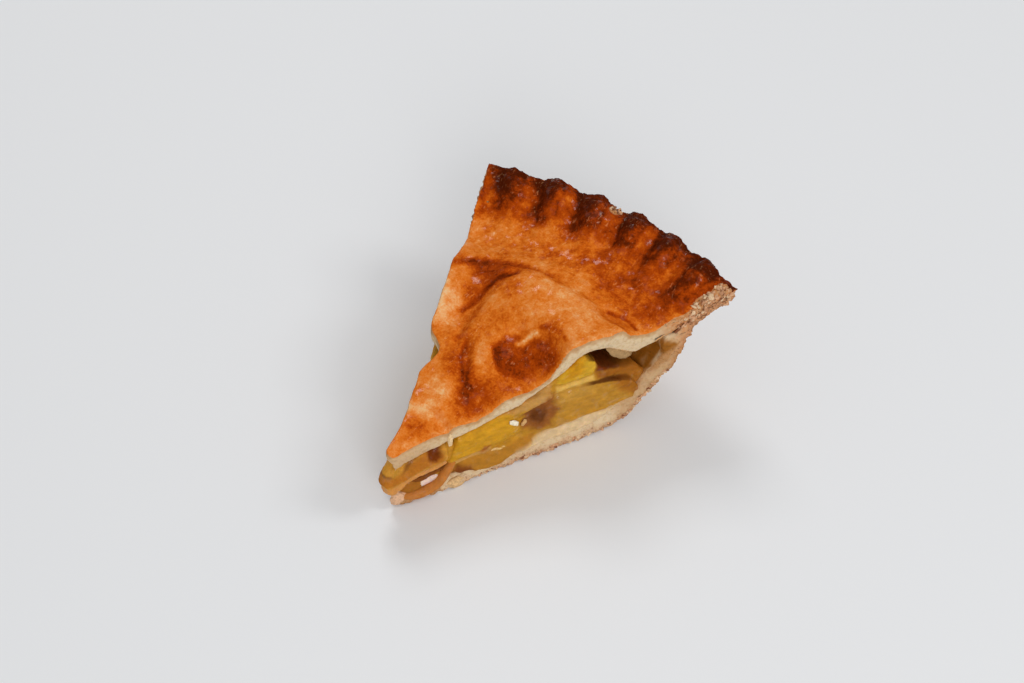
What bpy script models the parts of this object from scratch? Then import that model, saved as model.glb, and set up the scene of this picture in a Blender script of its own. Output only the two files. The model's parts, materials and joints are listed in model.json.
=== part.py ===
"""A slice of apple pie: a browned lid with a fluted rim, a bottom crust, and apple slices in syrup.

The slice is worked out as part of its whole pie. A place is a distance along one of the lines that fan out
from the slice's tip, and a share of the way from the right cut to the left one. Lengths are in millimetres
until the points are stored, and the finished slice is moved onto its own origin, the middle of its underside.
"""

import math

import bmesh
import bpy
import numpy as np
from mathutils import Matrix, Vector, noise

MM = 0.001
GAP = 0.3

PIE_RADIUS = 120.0
WEDGE = math.radians(49.5)
TIP = Vector((-7.5, 11.9))
NOSE_START = 2.6
NOSE_BULGE = 2.2
NOSE_FADE = 16.0

# Crimped flutes: the shares of the wedge at which their crests meet the edge, with one beyond each cut, and
# how much the share leans for each mm inward.
FLUTE_CRESTS = (-0.01, 0.142, 0.289, 0.432, 0.575, 0.735, 0.912, 1.09)
FLUTE_SLANT = 0.0034
FLUTE_HEIGHT = 1.45
FLUTE_INNER_RADIUS = 94.0
FLUTE_FADE_AT_EDGE = 0.55
SCALLOP = 0.4
TORN_AT = 0.52
TORN_HALF_WIDTH = 0.055
TORN_DEPTH = 0.6

# Height of the lid's top along three lines, as (share of the way from tip to rim, height).
LID_TOP_RIGHT = (
    (0.00, 26.0), (0.10, 26.8), (0.20, 25.9), (0.27, 26.6), (0.33, 30.0), (0.42, 33.0),
    (0.46, 36.0), (0.50, 41.2), (0.54, 42.6), (0.60, 42.2), (0.65, 40.6), (0.70, 37.9),
    (0.76, 37.2), (0.80, 39.4), (0.86, 41.4), (0.92, 44.1), (0.95, 44.8), (1.00, 43.2),
)
LID_TOP_MIDDLE = (
    (0.00, 27.0), (0.12, 28.0), (0.20, 29.0), (0.30, 32.0), (0.42, 36.5), (0.52, 40.8),
    (0.60, 42.8), (0.66, 42.0), (0.71, 39.6), (0.76, 38.6), (0.80, 39.0), (0.86, 40.6),
    (0.92, 43.2), (0.95, 44.0), (1.00, 43.0),
)
LID_TOP_LEFT = (
    (0.00, 27.6), (0.12, 28.6), (0.20, 28.8), (0.27, 30.2), (0.38, 33.8), (0.48, 35.4),
    (0.58, 37.4), (0.66, 37.8), (0.71, 35.4), (0.76, 34.4), (0.82, 35.8), (0.88, 38.6),
    (0.94, 41.4), (1.00, 42.6),
)
LID_UNDER_RIGHT = (
    (0.00, 16.6), (0.06, 19.0), (0.12, 19.3), (0.17, 20.6), (0.23, 21.2), (0.28, 22.9),
    (0.35, 24.6), (0.42, 28.2), (0.48, 31.6), (0.53, 36.0), (0.61, 36.4), (0.66, 33.2),
    (0.70, 30.2), (0.78, 30.2), (0.86, 32.6),
)
LID_THICKNESS = 5.2

# The flap at the tip that has cracked off and sunk: its length at the right cut and at the left one,
# and its drop.
TIP_FLAP_RIGHT = 17.5
TIP_FLAP_LEFT = 15.0
TIP_FLAP_DROP = 1.8
CRACK_HALF_WIDTH = 0.6

# Creases in the lid: plan points, half width, and depth at the right cut and at the left one.
CREASES = (
    (((24.0, 81.0), (12.0, 84.5), (-12.0, 84.0), (-36.0, 76.5)), 2.2, 0.5, 2.1),
    (((-17.0, 79.0), (-19.0, 69.0), (-17.0, 50.0)), 1.6, 1.2, 1.2),
    (((-13.5, 51.5), (-9.0, 42.0), (-4.7, 38.0), (2.0, 36.5)), 2.0, 1.5, 1.5),
    (((13.0, 83.0), (18.0, 84.0), (24.5, 82.0)), 2.4, 1.2, 1.2),
)
SUNKEN_CORNER_DEPTH = 3.0
DENT_MIDDLE = Vector((5.0, 56.5))
DENT_HALF_SIZE = Vector((12.5, 11.0))
DENT_DEPTH = 1.7
LID_UNEVEN_SIZE = 9.0
LID_UNEVEN_HEIGHT = 0.55
LID_BELLY = 0.3
LID_NOSE = 5.0
LID_NOSE_WIDTH = 0.9
LID_NOSE_FADE = 14.0
CORNER_FLICK = 1.6
RIM_BELLY = 0.6
RIM_ROUNDING = 0.6
CHIP_AT = 35.0
CHIP_HALF_LENGTH = 7.5
CHIP_DEPTH = 3.8

# Roughness of the cut faces: how wide its lumps are, and how far they stand out.
CUT_LUMP = 3.2
CUT_ROUGHNESS = 0.55
CRUMB_AT = 20.0
CRUMB_HALF_LENGTH = 3.6
CRUMB_SIZE = 1.8

# Line where the lid lies on the bottom crust's flange, as (distance from the pie's axis, height).
SEAM = ((90.0, 30.8), (96.0, 32.3), (102.0, 35.1), (110.0, 39.1), (116.0, 40.5), (120.0, 40.9))
SEAM_STARTS = 92.0
SEAM_FLUTE_SHARE = 0.7

# The bottom crust from its flat floor to the rim: outer and inner (distance from the axis, height).
FLOOR_THICKNESS = 4.6
CRUST_OUTER = (
    (76.0, 0.0), (86.0, 2.6), (91.5, 9.0), (98.5, 17.5), (103.6, 25.0),
    (105.6, 31.0), (110.0, 34.9), (115.5, 36.9), (119.6, 38.3),
)
CRUST_INNER = (
    (72.0, 4.9), (79.5, 7.0), (85.5, 12.0), (91.5, 18.8), (97.0, 25.2),
    (96.0, 31.6), (102.0, 34.6), (110.5, 38.7), (119.6, 40.3),
)
CRUST_BELLY = 0.8
CRUST_NOSE_BELLY = 1.6
FLOOR_SHARE = 0.25
FLANGE_SHARE = 0.70

FILLING_START = 5.8
CRUST_CLEARANCE = 1.8
LID_CLEARANCE = 0.9
FILLING_OUTER_RADIUS = 93.0
FILLING_SHORT_AT_RIGHT_CUT = 4.5
# How far the filling's face lies behind each cut, as (distance from the tip, depth). Below 0 it stands out.
RECESS_RIGHT = (
    (0.0, -0.6), (17.0, 0.2), (30.0, 0.7), (41.0, 0.8), (46.0, 1.4), (62.0, 1.6), (72.0, 2.6), (80.0, 4.5),
    (90.0, 8.0),
)
RECESS_LEFT = ((0.0, -0.4), (20.0, 0.6), (60.0, 1.6), (90.0, 4.5))
TIP_APPLE_START = 1.6
TIP_APPLE_END = 16.5
TIP_APPLE_UNDERSIDE = 9.4
TIP_APPLE_DROOP = 2.4
TIP_APPLE_RISE = 1.6
TIP_APPLE_BELLY = 2.0
TIP_APPLE_PROUD = 4.6
# The filling's top at the right cut where it has sunk away from the lid, as (distance from the tip, height),
# and the share of the wedge over which it comes back up.
SUNKEN_FILLING_TOP = (
    (58.0, 40.0), (62.0, 36.0), (64.5, 32.0), (67.0, 28.8), (70.0, 26.6), (73.7, 24.2), (77.0, 22.4),
    (80.0, 18.6), (84.0, 17.6), (92.0, 22.0),
)
HOLLOW_REACH = 0.42

# Apple slices that show at each cut: distance from the tip, height, half length, half thickness, tilt and
# how far they run in behind the cut and stand out of it.
APPLES_RIGHT = (
    (29.0, 16.2, 11.0, 3.9, 7.0, 7.5, 0.5),
    (35.0, 8.0, 9.6, 2.1, 3.0, 6.5, 0.2),
    (43.4, 24.1, 7.2, 2.0, 20.0, 7.0, 0.1),
    (60.2, 17.4, 15.6, 7.0, 5.0, 12.0, -0.4),
    (59.0, 31.0, 6.6, 3.3, 17.0, 8.0, -1.0),
)
APPLES_LEFT = (
    (27.5, 14.6, 10.0, 3.8, 6.0, 7.5, 0.4),
    (36.0, 7.8, 9.0, 2.0, 2.0, 6.5, 0.1),
    (46.0, 21.0, 8.4, 3.2, 12.0, 8.0, 0.3),
    (56.0, 13.4, 12.0, 4.4, 4.0, 9.0, -0.3),
    (65.5, 24.2, 8.6, 3.6, 6.0, 8.0, -0.4),
)
APPLE_CURVE = 0.12
APPLE_BLUNTNESS = 0.78
APPLE_SEGMENTS = 12
APPLE_RINGS = 8


def curve(knots, at):
    """The value at a place along (place, value) knots, with rounded bends."""
    places, values = zip(*knots)
    at = min(max(at, places[0]), places[-1])
    i = min(int(np.searchsorted(places, at, side="right")) - 1, len(places) - 2)
    slopes = np.gradient(values, places)
    step = places[i + 1] - places[i]
    f = (at - places[i]) / step
    rise = values[i + 1] - values[i]
    bend_in = slopes[i] * step - rise
    bend_out = rise - slopes[i + 1] * step
    return float(values[i] + f * rise + f * (1 - f) * ((1 - f) * bend_in + f * bend_out))


def ease(low, high, x):
    """0 below low, 1 above high and a smooth slope between."""
    f = min(max((x - low) / (high - low), 0.0), 1.0)
    return f * f * (3 - 2 * f)


def bump(offset):
    """A rounded hill, 1 at offset 0 and nothing from 1 on."""
    return (1 - offset * offset) ** 2 if abs(offset) < 1 else 0.0


def aim(v):
    """Unit direction of the line that leaves the tip at share v of the way from the right cut to the left."""
    angle = math.pi / 2 + WEDGE * (v - 0.5)
    return Vector((math.cos(angle), math.sin(angle)))


def distance_at_radius(v, radius):
    """Distance from the tip at which line v is that far from the pie's axis."""
    along = TIP.dot(aim(v))
    return -along + math.sqrt(along * along - TIP.length_squared + radius * radius)


def spot(s, v):
    """Plan position at distance s from the tip on line v, with the tip itself rounded off."""
    bulge = NOSE_BULGE * (1 - (2 * v - 1) ** 2) * max(0.0, 1 - s / NOSE_FADE) ** 2
    return TIP + aim(v) * s - Vector((0.0, bulge))


def outward(v):
    """Unit direction square to the nearer cut, pointing away from the slice."""
    line = aim(round(v))
    return Vector((line.y, -line.x)) if v < 0.5 else Vector((-line.y, line.x))


def roughness(point, size, amount):
    """Smooth unevenness of that size, from -amount to amount."""
    return amount * noise.noise(Vector(point) / size)


def groove(x, y, points, width, depth):
    """Depth of a soft groove that follows a run of plan points."""
    here = Vector((x, y))
    nearest = math.inf
    for a, b in zip(points, points[1:]):
        a, b = Vector(a), Vector(b)
        along = min(max((here - a).dot(b - a) / (b - a).length_squared, 0.0), 1.0)
        nearest = min(nearest, (here - a.lerp(b, along)).length)
    return depth * math.exp(-((nearest / width) ** 2))


def flute_phase(v):
    """Flutes from the first crest to share v of the way across the edge, a whole number at each crest."""
    return curve(tuple(zip(FLUTE_CRESTS, range(len(FLUTE_CRESTS)))), v)


def flute(v, radius):
    """Height of the crimped flutes, which deepen towards the edge and lean a little."""
    phase = flute_phase(v + FLUTE_SLANT * (PIE_RADIUS - radius))
    ridge = 0.5 + 0.5 * math.cos(2 * math.pi * phase)
    grip = ease(FLUTE_INNER_RADIUS, PIE_RADIUS - 8.0, radius)
    grip *= 1 - FLUTE_FADE_AT_EDGE * ease(PIE_RADIUS - 8.0, PIE_RADIUS, radius)
    return FLUTE_HEIGHT * grip * (2 * ridge**0.8 - 1.1)


def sunken_corner(s, v, radius):
    """Depth of the hollow between the dome's shoulder, the rim band and the left cut."""
    across = ease(0.72, 0.79, v) * (1 - ease(0.86, 1.0, v))
    along = ease(40.0, 50.0, s) * (1 - ease(80.0, 84.0, radius))
    return SUNKEN_CORNER_DEPTH * across * along


def dent(x, y):
    """Depth of the round dent on top of the dome."""
    away = math.hypot((x - DENT_MIDDLE.x) / DENT_HALF_SIZE.x, (y - DENT_MIDDLE.y) / DENT_HALF_SIZE.y)
    return DENT_DEPTH * (1 - ease(0.55, 1.05, away))


def torn_rim(v):
    """1 in the middle of the torn stretch of the rim and nothing beyond its ends."""
    return bump((v - TORN_AT) / TORN_HALF_WIDTH)


def corner_flick(v):
    """How far the rim's left corner is turned up and out."""
    return CORNER_FLICK * ease(0.93, 1.0, v)


def lid_top(s, v):
    """Height of the lid's browned top."""
    share = s / distance_at_radius(v, PIE_RADIUS)
    right, middle, left = (curve(k, share) for k in (LID_TOP_RIGHT, LID_TOP_MIDDLE, LID_TOP_LEFT))
    height = right + (middle - right) * ease(0.0, 0.5, v) + (left - middle) * ease(0.5, 1.0, v)
    x, y = spot(s, v)
    radius = math.hypot(x, y)
    crack = TIP_FLAP_RIGHT + (TIP_FLAP_LEFT - TIP_FLAP_RIGHT) * v
    height -= TIP_FLAP_DROP * (1 - ease(-CRACK_HALF_WIDTH, CRACK_HALF_WIDTH, s - crack))
    for points, width, depth_right, depth_left in CREASES:
        height -= groove(x, y, points, width, depth_right + (depth_left - depth_right) * v)
    height -= sunken_corner(s, v, radius) + dent(x, y)
    height += flute(v, radius) - 0.8 * TORN_DEPTH * torn_rim(v) * ease(112.0, 119.0, radius)
    height += corner_flick(v) * ease(113.0, 119.0, radius)
    return height + roughness((x, y, 0.0), LID_UNEVEN_SIZE, LID_UNEVEN_HEIGHT)


def seam(v, radius):
    """Height of the line between lid and flange, which the crimping pushes up and down with the lid."""
    return curve(SEAM, radius) + SEAM_FLUTE_SHARE * flute(v, radius)


def edge_outline(v):
    """How far the crimped edge stands out of the rim's circle on line v."""
    scallop = SCALLOP * math.cos(2 * math.pi * flute_phase(v))
    return scallop - TORN_DEPTH * torn_rim(v)


def lid_under(s, v):
    """Height of the lid's underside, which comes down onto the flange near the rim."""
    share = s / distance_at_radius(v, PIE_RADIUS)
    middle = curve(LID_TOP_MIDDLE, share) - LID_THICKNESS
    left = curve(LID_TOP_LEFT, share) - LID_THICKNESS
    right = curve(LID_UNDER_RIGHT, share)
    height = right + (middle - right) * ease(0.0, 0.4, v) + (left - middle) * ease(0.5, 1.0, v)
    radius = spot(s, v).length
    onto_seam = ease(SEAM_STARTS - 8.0, SEAM_STARTS, radius)
    return height + (seam(v, radius) - height) * onto_seam


def block(name, columns, across, rows, place):
    """A closed block whose grid points are put in place by place(u, v, w), each from 0 to 1.

    u runs from tip to rim, v from the right cut to the left one and w from the underside up.
    """
    mesh = bmesh.new()
    bmesh.ops.create_grid(mesh, x_segments=columns, y_segments=across, size=0.5)
    floor_faces = mesh.faces[:]
    raised = bmesh.ops.extrude_face_region(mesh, geom=floor_faces)["geom"]
    bmesh.ops.translate(mesh, vec=(0, 0, 1), verts=[g for g in raised if isinstance(g, bmesh.types.BMVert)])
    uprights = [e for e in mesh.edges if abs(e.verts[0].co.z - e.verts[1].co.z) > 0.5]
    if rows > 1:
        bmesh.ops.subdivide_edges(mesh, edges=uprights, cuts=rows - 1, use_grid_fill=True)
    bmesh.ops.recalc_face_normals(mesh, faces=mesh.faces)
    for vert in mesh.verts:
        u, v, w = vert.co.x + 0.5, vert.co.y + 0.5, vert.co.z
        vert.co = Vector(place(u, v, w)) * MM
    return store(name, mesh)


def store(name, mesh):
    data = bpy.data.meshes.new(name)
    mesh.to_mesh(data)
    mesh.free()
    data.shade_smooth()
    data.set_sharp_from_angle(angle=math.radians(50))
    made = bpy.data.objects.new(name, data)
    pie.objects.link(made)
    return made


def shifted(s, v, sideways, reach=0.5):
    """Plan position moved square to the nearer cut, all the way at the cut and less and less behind it."""
    edge = min(v, 1 - v)
    fade = max(0.0, 1 - edge / reach)
    return spot(s, v) + outward(v) * (sideways * fade)


def belly(w):
    """Roundness across a thickness, 1 half way up and 0 at both faces."""
    return 4 * w * (1 - w)


def cut_roughness(s, v, height):
    """How far the crumb of the nearer cut's face stands out at distance s from the tip and that height."""
    return roughness((s, round(v) * PIE_RADIUS, height), CUT_LUMP, CUT_ROUGHNESS)


def place_lid(u, v, w):
    rim = distance_at_radius(v, PIE_RADIUS)
    s = NOSE_START + (rim - NOSE_START) * u
    low, high = lid_under(s, v), lid_top(s, v)
    cut_face = belly(w)
    sideways = LID_BELLY * cut_face + cut_roughness(s, v, low + (high - low) * w)
    if v > 0.5:
        sideways -= CHIP_DEPTH * bump((s - CHIP_AT) / CHIP_HALF_LENGTH)
    nose = max(0.0, 1 - s / LID_NOSE_FADE) ** 2
    x, y = shifted(s, v, sideways + LID_NOSE_WIDTH * nose)
    y -= LID_NOSE * nose
    edge = ease(0.93, 1.0, u)
    out = Vector((x, y)).normalized() * (edge * (edge_outline(v) + corner_flick(v) + RIM_BELLY * cut_face))
    rounded = RIM_ROUNDING * edge * w * w
    return x + out.x, y + out.y, low + (high - low) * w - rounded


def crust_profile(u, knots, v):
    """Distance from the axis and height at share u of the bottom crust's inner or outer line."""
    if u <= FLOOR_SHARE:
        start = spot(NOSE_START, v).length
        end, height = knots[0]
        level = height if height == 0.0 else FLOOR_THICKNESS + (height - FLOOR_THICKNESS) * u / FLOOR_SHARE
        return start + (end - start) * u / FLOOR_SHARE, level
    stations = np.linspace(FLOOR_SHARE, 1.0, len(knots))
    radius = curve(tuple(zip(stations, (k[0] for k in knots))), u)
    height = curve(tuple(zip(stations, (k[1] for k in knots))), u)
    return radius, max(height, 0.0)


def place_crust(u, v, w):
    low_radius, low = crust_profile(u, CRUST_OUTER, v)
    high_radius, high = crust_profile(u, CRUST_INNER, v)
    if u > FLANGE_SHARE:
        high = seam(v, high_radius) - GAP
        low += SEAM_FLUTE_SHARE * flute(v, low_radius)
    radius = low_radius + (high_radius - low_radius) * w
    radius += edge_outline(v) * ease(110.0, 119.0, radius)
    s = distance_at_radius(v, radius) if u > 0 else NOSE_START
    height = low + (high - low) * w
    bulge = CRUST_BELLY * belly(w)
    lump = CRUMB_SIZE * bump((s - CRUMB_AT) / CRUMB_HALF_LENGTH) * belly(w) if v < 0.5 else 0.0
    x, y = shifted(s, v, bulge + lump + cut_roughness(s, v, height))
    return x, y - CRUST_NOSE_BELLY * belly(w) * (u == 0), height


def crust_inside(radius):
    """Height of the bottom crust's inner side at that distance from the axis."""
    floor_end, height = CRUST_INNER[0]
    if radius < floor_end:
        return FLOOR_THICKNESS + (height - FLOOR_THICKNESS) * radius / floor_end
    return curve(CRUST_INNER[:5], radius)


def filling_top(s, v):
    ceiling = lid_under(s, v) - LID_CLEARANCE
    under_tip_apple = TIP_APPLE_UNDERSIDE - GAP
    behind_tip_apple = ease(TIP_APPLE_END + 2 * GAP, TIP_APPLE_END + 7 * GAP, s)
    ceiling = under_tip_apple + (ceiling - under_tip_apple) * behind_tip_apple
    sunken = max(0.0, ceiling - curve(SUNKEN_FILLING_TOP, s))
    return ceiling - sunken * max(0.0, 1 - v / HOLLOW_REACH)


def place_filling(u, v, w):
    end = distance_at_radius(v, FILLING_OUTER_RADIUS - FILLING_SHORT_AT_RIGHT_CUT * (1 - ease(0.0, 0.3, v)))
    s = FILLING_START + (end - FILLING_START) * u
    recess = curve(RECESS_RIGHT, s) if v < 0.5 else curve(RECESS_LEFT, s)
    radius = spot(s, v).length
    low = max(crust_inside(radius), crust_inside(radius + CRUST_CLEARANCE)) + 2 * GAP
    high = filling_top(s, v)
    height = low + (high - low) * w
    x, y = shifted(s, v, cut_roughness(s, v, height) - recess)
    return x, y, height


def place_tip_apple(u, v, w):
    """The amber apple slice that wraps the tip and stands a little out of it."""
    s = TIP_APPLE_START + (TIP_APPLE_END - TIP_APPLE_START) * u
    high = lid_under(max(s, NOSE_START), v) - LID_CLEARANCE
    low = TIP_APPLE_UNDERSIDE - TIP_APPLE_DROOP * (1 - ease(0.0, 0.14, u)) + TIP_APPLE_RISE * u
    bulge = belly(w)
    x, y = shifted(s, v, TIP_APPLE_BELLY * bulge * (1 - 0.5 * u) - GAP)
    return x, y - TIP_APPLE_PROUD * bulge * (1 - u) ** 3, low + (high - low) * w


def lens(size, tilt, bend, segments, rings):
    """A rounded, slightly curved apple slice about the origin: x along it, y up, z into the pie."""
    mesh = bmesh.new()
    bmesh.ops.create_uvsphere(mesh, u_segments=segments, v_segments=rings, radius=1.0)
    for vert in mesh.verts:
        blunt = [math.copysign(abs(c) ** APPLE_BLUNTNESS, c) for c in vert.co]
        vert.co = Vector((b * half for b, half in zip(blunt, size)))
        vert.co.y += bend * (vert.co.x / size[0]) ** 2
    bmesh.ops.rotate(mesh, verts=mesh.verts, matrix=Matrix.Rotation(math.radians(tilt), 3, "Z"))
    return mesh


def apple_slice(name, side, values, grow=0.0):
    """An apple slice that shows at a cut, or with grow, the pocket that it lies in."""
    s, height, half_length, half_thickness, tilt, depth, proud = values
    size = (half_length + grow, half_thickness + grow, depth + grow)
    mesh = lens(size, tilt, -APPLE_CURVE * half_length, APPLE_SEGMENTS, APPLE_RINGS)
    along, out = aim(side), outward(side)
    frame = Matrix((
        (along.x, 0.0, out.x, TIP.x + along.x * s),
        (along.y, 0.0, out.y, TIP.y + along.y * s),
        (0.0, 1.0, 0.0, height),
        (0.0, 0.0, 0.0, 1.0),
    ))
    if not grow:
        geometry = mesh.verts[:] + mesh.edges[:] + mesh.faces[:]
        bmesh.ops.bisect_plane(
            mesh, geom=geometry, plane_co=(0, 0, proud), plane_no=(0, 0, 1), clear_outer=True
        )
        bmesh.ops.holes_fill(mesh, edges=[e for e in mesh.edges if e.is_boundary], sides=0)
    bmesh.ops.transform(mesh, matrix=Matrix.Scale(MM, 4) @ frame, verts=mesh.verts)
    bmesh.ops.recalc_face_normals(mesh, faces=mesh.faces)
    return store(name, mesh)


def apply_modifiers(made):
    """Stores the object's evaluated mesh as its own."""
    graph = bpy.context.evaluated_depsgraph_get()
    old = made.data
    made.data = bpy.data.meshes.new_from_object(made.evaluated_get(graph))
    made.modifiers.clear()
    bpy.data.meshes.remove(old)


def keep_largest_body(made):
    """Drops the loose scraps that the pockets leave."""
    mesh = bmesh.new()
    mesh.from_mesh(made.data)
    unseen = set(mesh.verts)
    bodies = []
    while unseen:
        front = [unseen.pop()]
        body = set(front)
        while front:
            near = {e.other_vert(v) for v in front for e in v.link_edges} & unseen
            unseen -= near
            body |= near
            front = list(near)
        bodies.append(body)
    bodies.sort(key=len)
    bmesh.ops.delete(mesh, geom=[v for body in bodies[:-1] for v in body], context="VERTS")
    mesh.to_mesh(made.data)
    mesh.free()


def finish(made, name, colour, rough):
    """Gives the object a material of that name."""
    material = bpy.data.materials.new(name)
    material.use_nodes = True
    shader = material.node_tree.nodes["Principled BSDF"]
    shader.inputs["Base Color"].default_value = (*colour, 1.0)
    shader.inputs["Roughness"].default_value = rough
    shader.inputs["Metallic"].default_value = 0.0
    made.data.materials.clear()
    made.data.materials.append(material)


def cut_pockets(filling, slices):
    """Cuts the pockets for the apple slices out of the filling."""
    for side, values in slices:
        cutter = apple_slice("pocket", side, values, grow=GAP)
        pie.objects.unlink(cutter)
        cutters.objects.link(cutter)
        cutter.hide_render = True
        cutter.display_type = "WIRE"
    cut = filling.modifiers.new("pockets", "BOOLEAN")
    cut.operand_type = "COLLECTION"
    cut.collection = cutters
    cut.solver = "EXACT"
    apply_modifiers(filling)
    keep_largest_body(filling)
    for cutter in list(cutters.objects):
        bpy.data.objects.remove(cutter)


def stand_on_origin(parts):
    """Moves the slice so that the middle of its underside is the origin."""
    corners = [v.co for part in parts for v in part.data.vertices]
    low = Vector((min(c[i] for c in corners) for i in range(3)))
    high = Vector((max(c[i] for c in corners) for i in range(3)))
    middle = (low + high) / 2
    for part in parts:
        part.data.transform(Matrix.Translation((-middle.x, -middle.y, 0.0)))
    print(f"the pie's axis is at {-middle.x / MM:.2f}, {-middle.y / MM:.2f} mm from the origin")


for old in list(bpy.data.objects):
    bpy.data.objects.remove(old)
pie = bpy.data.collections.new("apple_pie_slice")
cutters = bpy.data.collections.new("cutters")
bpy.context.scene.collection.children.link(pie)
bpy.context.scene.collection.children.link(cutters)

lid = block("top_crust", 46, 56, 3, place_lid)
thin_out = lid.modifiers.new("thin out", "DECIMATE")
thin_out.ratio = 0.42
apply_modifiers(lid)
finish(lid, "browned_crust", (0.55, 0.22, 0.05), 0.42)

crust = block("bottom_crust", 16, 42, 2, place_crust)
finish(crust, "pale_crust", (0.74, 0.53, 0.30), 0.75)

filling = block("filling", 20, 12, 4, place_filling)
on_cuts = [(0, values) for values in APPLES_RIGHT] + [(1, values) for values in APPLES_LEFT]
cut_pockets(filling, on_cuts)
finish(filling, "syrup", (0.42, 0.22, 0.06), 0.25)

apples = [block("apple_slice_tip", 6, 5, 4, place_tip_apple)]
for number, (side, values) in enumerate(on_cuts, start=1):
    apples.append(apple_slice(f"apple_slice_{number:02d}", side, values))
for apple in apples:
    finish(apple, "apple", (0.72, 0.52, 0.15), 0.3)

stand_on_origin([lid, crust, filling, *apples])
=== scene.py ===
# %% [markdown]
# # A slice of apple pie
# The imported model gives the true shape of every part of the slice. This lesson dresses it: each
# part is copied, given a fine skin, roughened as dough or fruit is, painted by place, and finished
# with a node material. The first cell loads the model. Nothing in it is moved, so every new piece
# is made where its part already lies.

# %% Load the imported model
import json
import math

import bpy
import numpy as np
from mathutils import Matrix, Vector, noise

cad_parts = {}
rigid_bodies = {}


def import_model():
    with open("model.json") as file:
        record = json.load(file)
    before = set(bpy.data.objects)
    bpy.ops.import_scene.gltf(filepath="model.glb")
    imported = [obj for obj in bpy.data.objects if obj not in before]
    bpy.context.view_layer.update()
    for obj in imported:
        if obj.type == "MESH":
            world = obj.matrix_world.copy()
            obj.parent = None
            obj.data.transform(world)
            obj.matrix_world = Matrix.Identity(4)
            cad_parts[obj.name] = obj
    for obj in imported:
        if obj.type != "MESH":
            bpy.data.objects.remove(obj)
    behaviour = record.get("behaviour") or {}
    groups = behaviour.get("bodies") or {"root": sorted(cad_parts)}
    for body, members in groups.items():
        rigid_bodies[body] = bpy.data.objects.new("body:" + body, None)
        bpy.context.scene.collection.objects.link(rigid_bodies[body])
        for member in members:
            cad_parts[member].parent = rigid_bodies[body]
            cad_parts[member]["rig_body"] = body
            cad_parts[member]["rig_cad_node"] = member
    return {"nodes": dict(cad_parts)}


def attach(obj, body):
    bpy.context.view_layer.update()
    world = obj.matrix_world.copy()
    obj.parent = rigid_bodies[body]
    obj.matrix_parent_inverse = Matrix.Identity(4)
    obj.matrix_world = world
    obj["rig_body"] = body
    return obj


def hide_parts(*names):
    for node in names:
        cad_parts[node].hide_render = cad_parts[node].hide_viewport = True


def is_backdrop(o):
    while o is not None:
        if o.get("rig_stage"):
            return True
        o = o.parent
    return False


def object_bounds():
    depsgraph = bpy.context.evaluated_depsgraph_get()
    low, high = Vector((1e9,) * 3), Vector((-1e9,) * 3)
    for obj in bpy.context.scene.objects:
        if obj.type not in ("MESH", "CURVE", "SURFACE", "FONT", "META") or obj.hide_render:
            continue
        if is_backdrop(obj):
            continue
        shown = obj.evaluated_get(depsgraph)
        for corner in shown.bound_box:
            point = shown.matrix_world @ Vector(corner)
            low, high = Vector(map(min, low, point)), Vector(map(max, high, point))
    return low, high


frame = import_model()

MM = 0.001
cad_box = [list(corner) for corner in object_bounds()]
scene = bpy.context.scene


def in_mm(box):
    """A box's corners in mm, to print."""
    return [[round(place / MM, 1) for place in corner] for corner in box]


print("nodes:", len(frame["nodes"]), "box in mm:", in_mm(cad_box))

# %% [markdown]
# ## The pie that the slice comes from
# A baker thinks of a slice as part of a round pie, so places are given in two ways. One is in mm from
# the middle of the pie. The other is along a cut: how far from the tip, and how far across from the
# right cut (0) to the left cut (1). These functions read a mesh's points and turn them into both, for
# all points at once with numpy.

# %% Places on the slice
AXIS = np.array((6.49, -63.98))
TIP = np.array((-7.5, 11.9))
WEDGE = math.radians(49.5)
RIM_RADIUS = 120.0


def rows_of(values, field):
    """Three numbers for each point of a mesh."""
    flat = np.zeros(len(values) * 3, np.float32)
    values.foreach_get(field, flat)
    return flat.reshape(-1, 3).astype(float)


def points_of(piece):
    """The piece's points in mm."""
    return rows_of(piece.data.vertices, "co") / MM


def normals_of(piece):
    """The direction that the surface faces at each point."""
    return rows_of(piece.data.vertex_normals, "vector")


def places(points):
    """For points in mm: x and y from the pie's middle, radius, distance from the tip, and share across."""
    x, y = (points[:, :2] - AXIS).T
    from_tip = np.stack((x, y), axis=1) - TIP
    along = np.hypot(*from_tip.T)
    across = (np.arctan2(from_tip[:, 1], from_tip[:, 0]) - (math.pi - WEDGE) / 2) / WEDGE
    return x, y, np.hypot(x, y), along, across


def behind_cuts(points):
    """How far each point lies behind the right cut and behind the left one, in mm."""
    depths = []
    for angle, turn in (((math.pi - WEDGE) / 2, 1), ((math.pi + WEDGE) / 2, -1)):
        square = turn * np.array((-math.sin(angle), math.cos(angle)))
        depths.append((points[:, :2] - AXIS - TIP) @ square)
    return depths


print("the slice is", round(math.degrees(WEDGE), 1), "degrees of a pie", 2 * RIM_RADIUS, "mm across")

# %% [markdown]
# ## Places on a cut
# Small pieces lie on the cut faces. These functions give the directions along a cut and out of it,
# and the point that lies so far from the tip, so high and so far out of the cut. The middle of the
# slice can serve as a cut too.

# %% Cut frames
def cut_frame(side):
    """Directions along a cut and out of it, or along the middle of the slice and to its right."""
    angle = (math.pi + {"left": WEDGE, "middle": 0.0, "right": -WEDGE}[side]) / 2
    run = Vector((math.cos(angle), math.sin(angle), 0))
    away = Vector((math.sin(angle), -math.cos(angle), 0))
    return run, -away if side == "left" else away


def on_cut(side, along, height, out):
    """A point in mm on or near a cut."""
    run, away = cut_frame(side)
    return Vector((*(AXIS + TIP), 0)) + run * along + away * out + Vector((0, 0, height))


print("the tip is at", [round(place, 1) for place in on_cut("middle", 0, 0, 0)], "mm")

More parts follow.
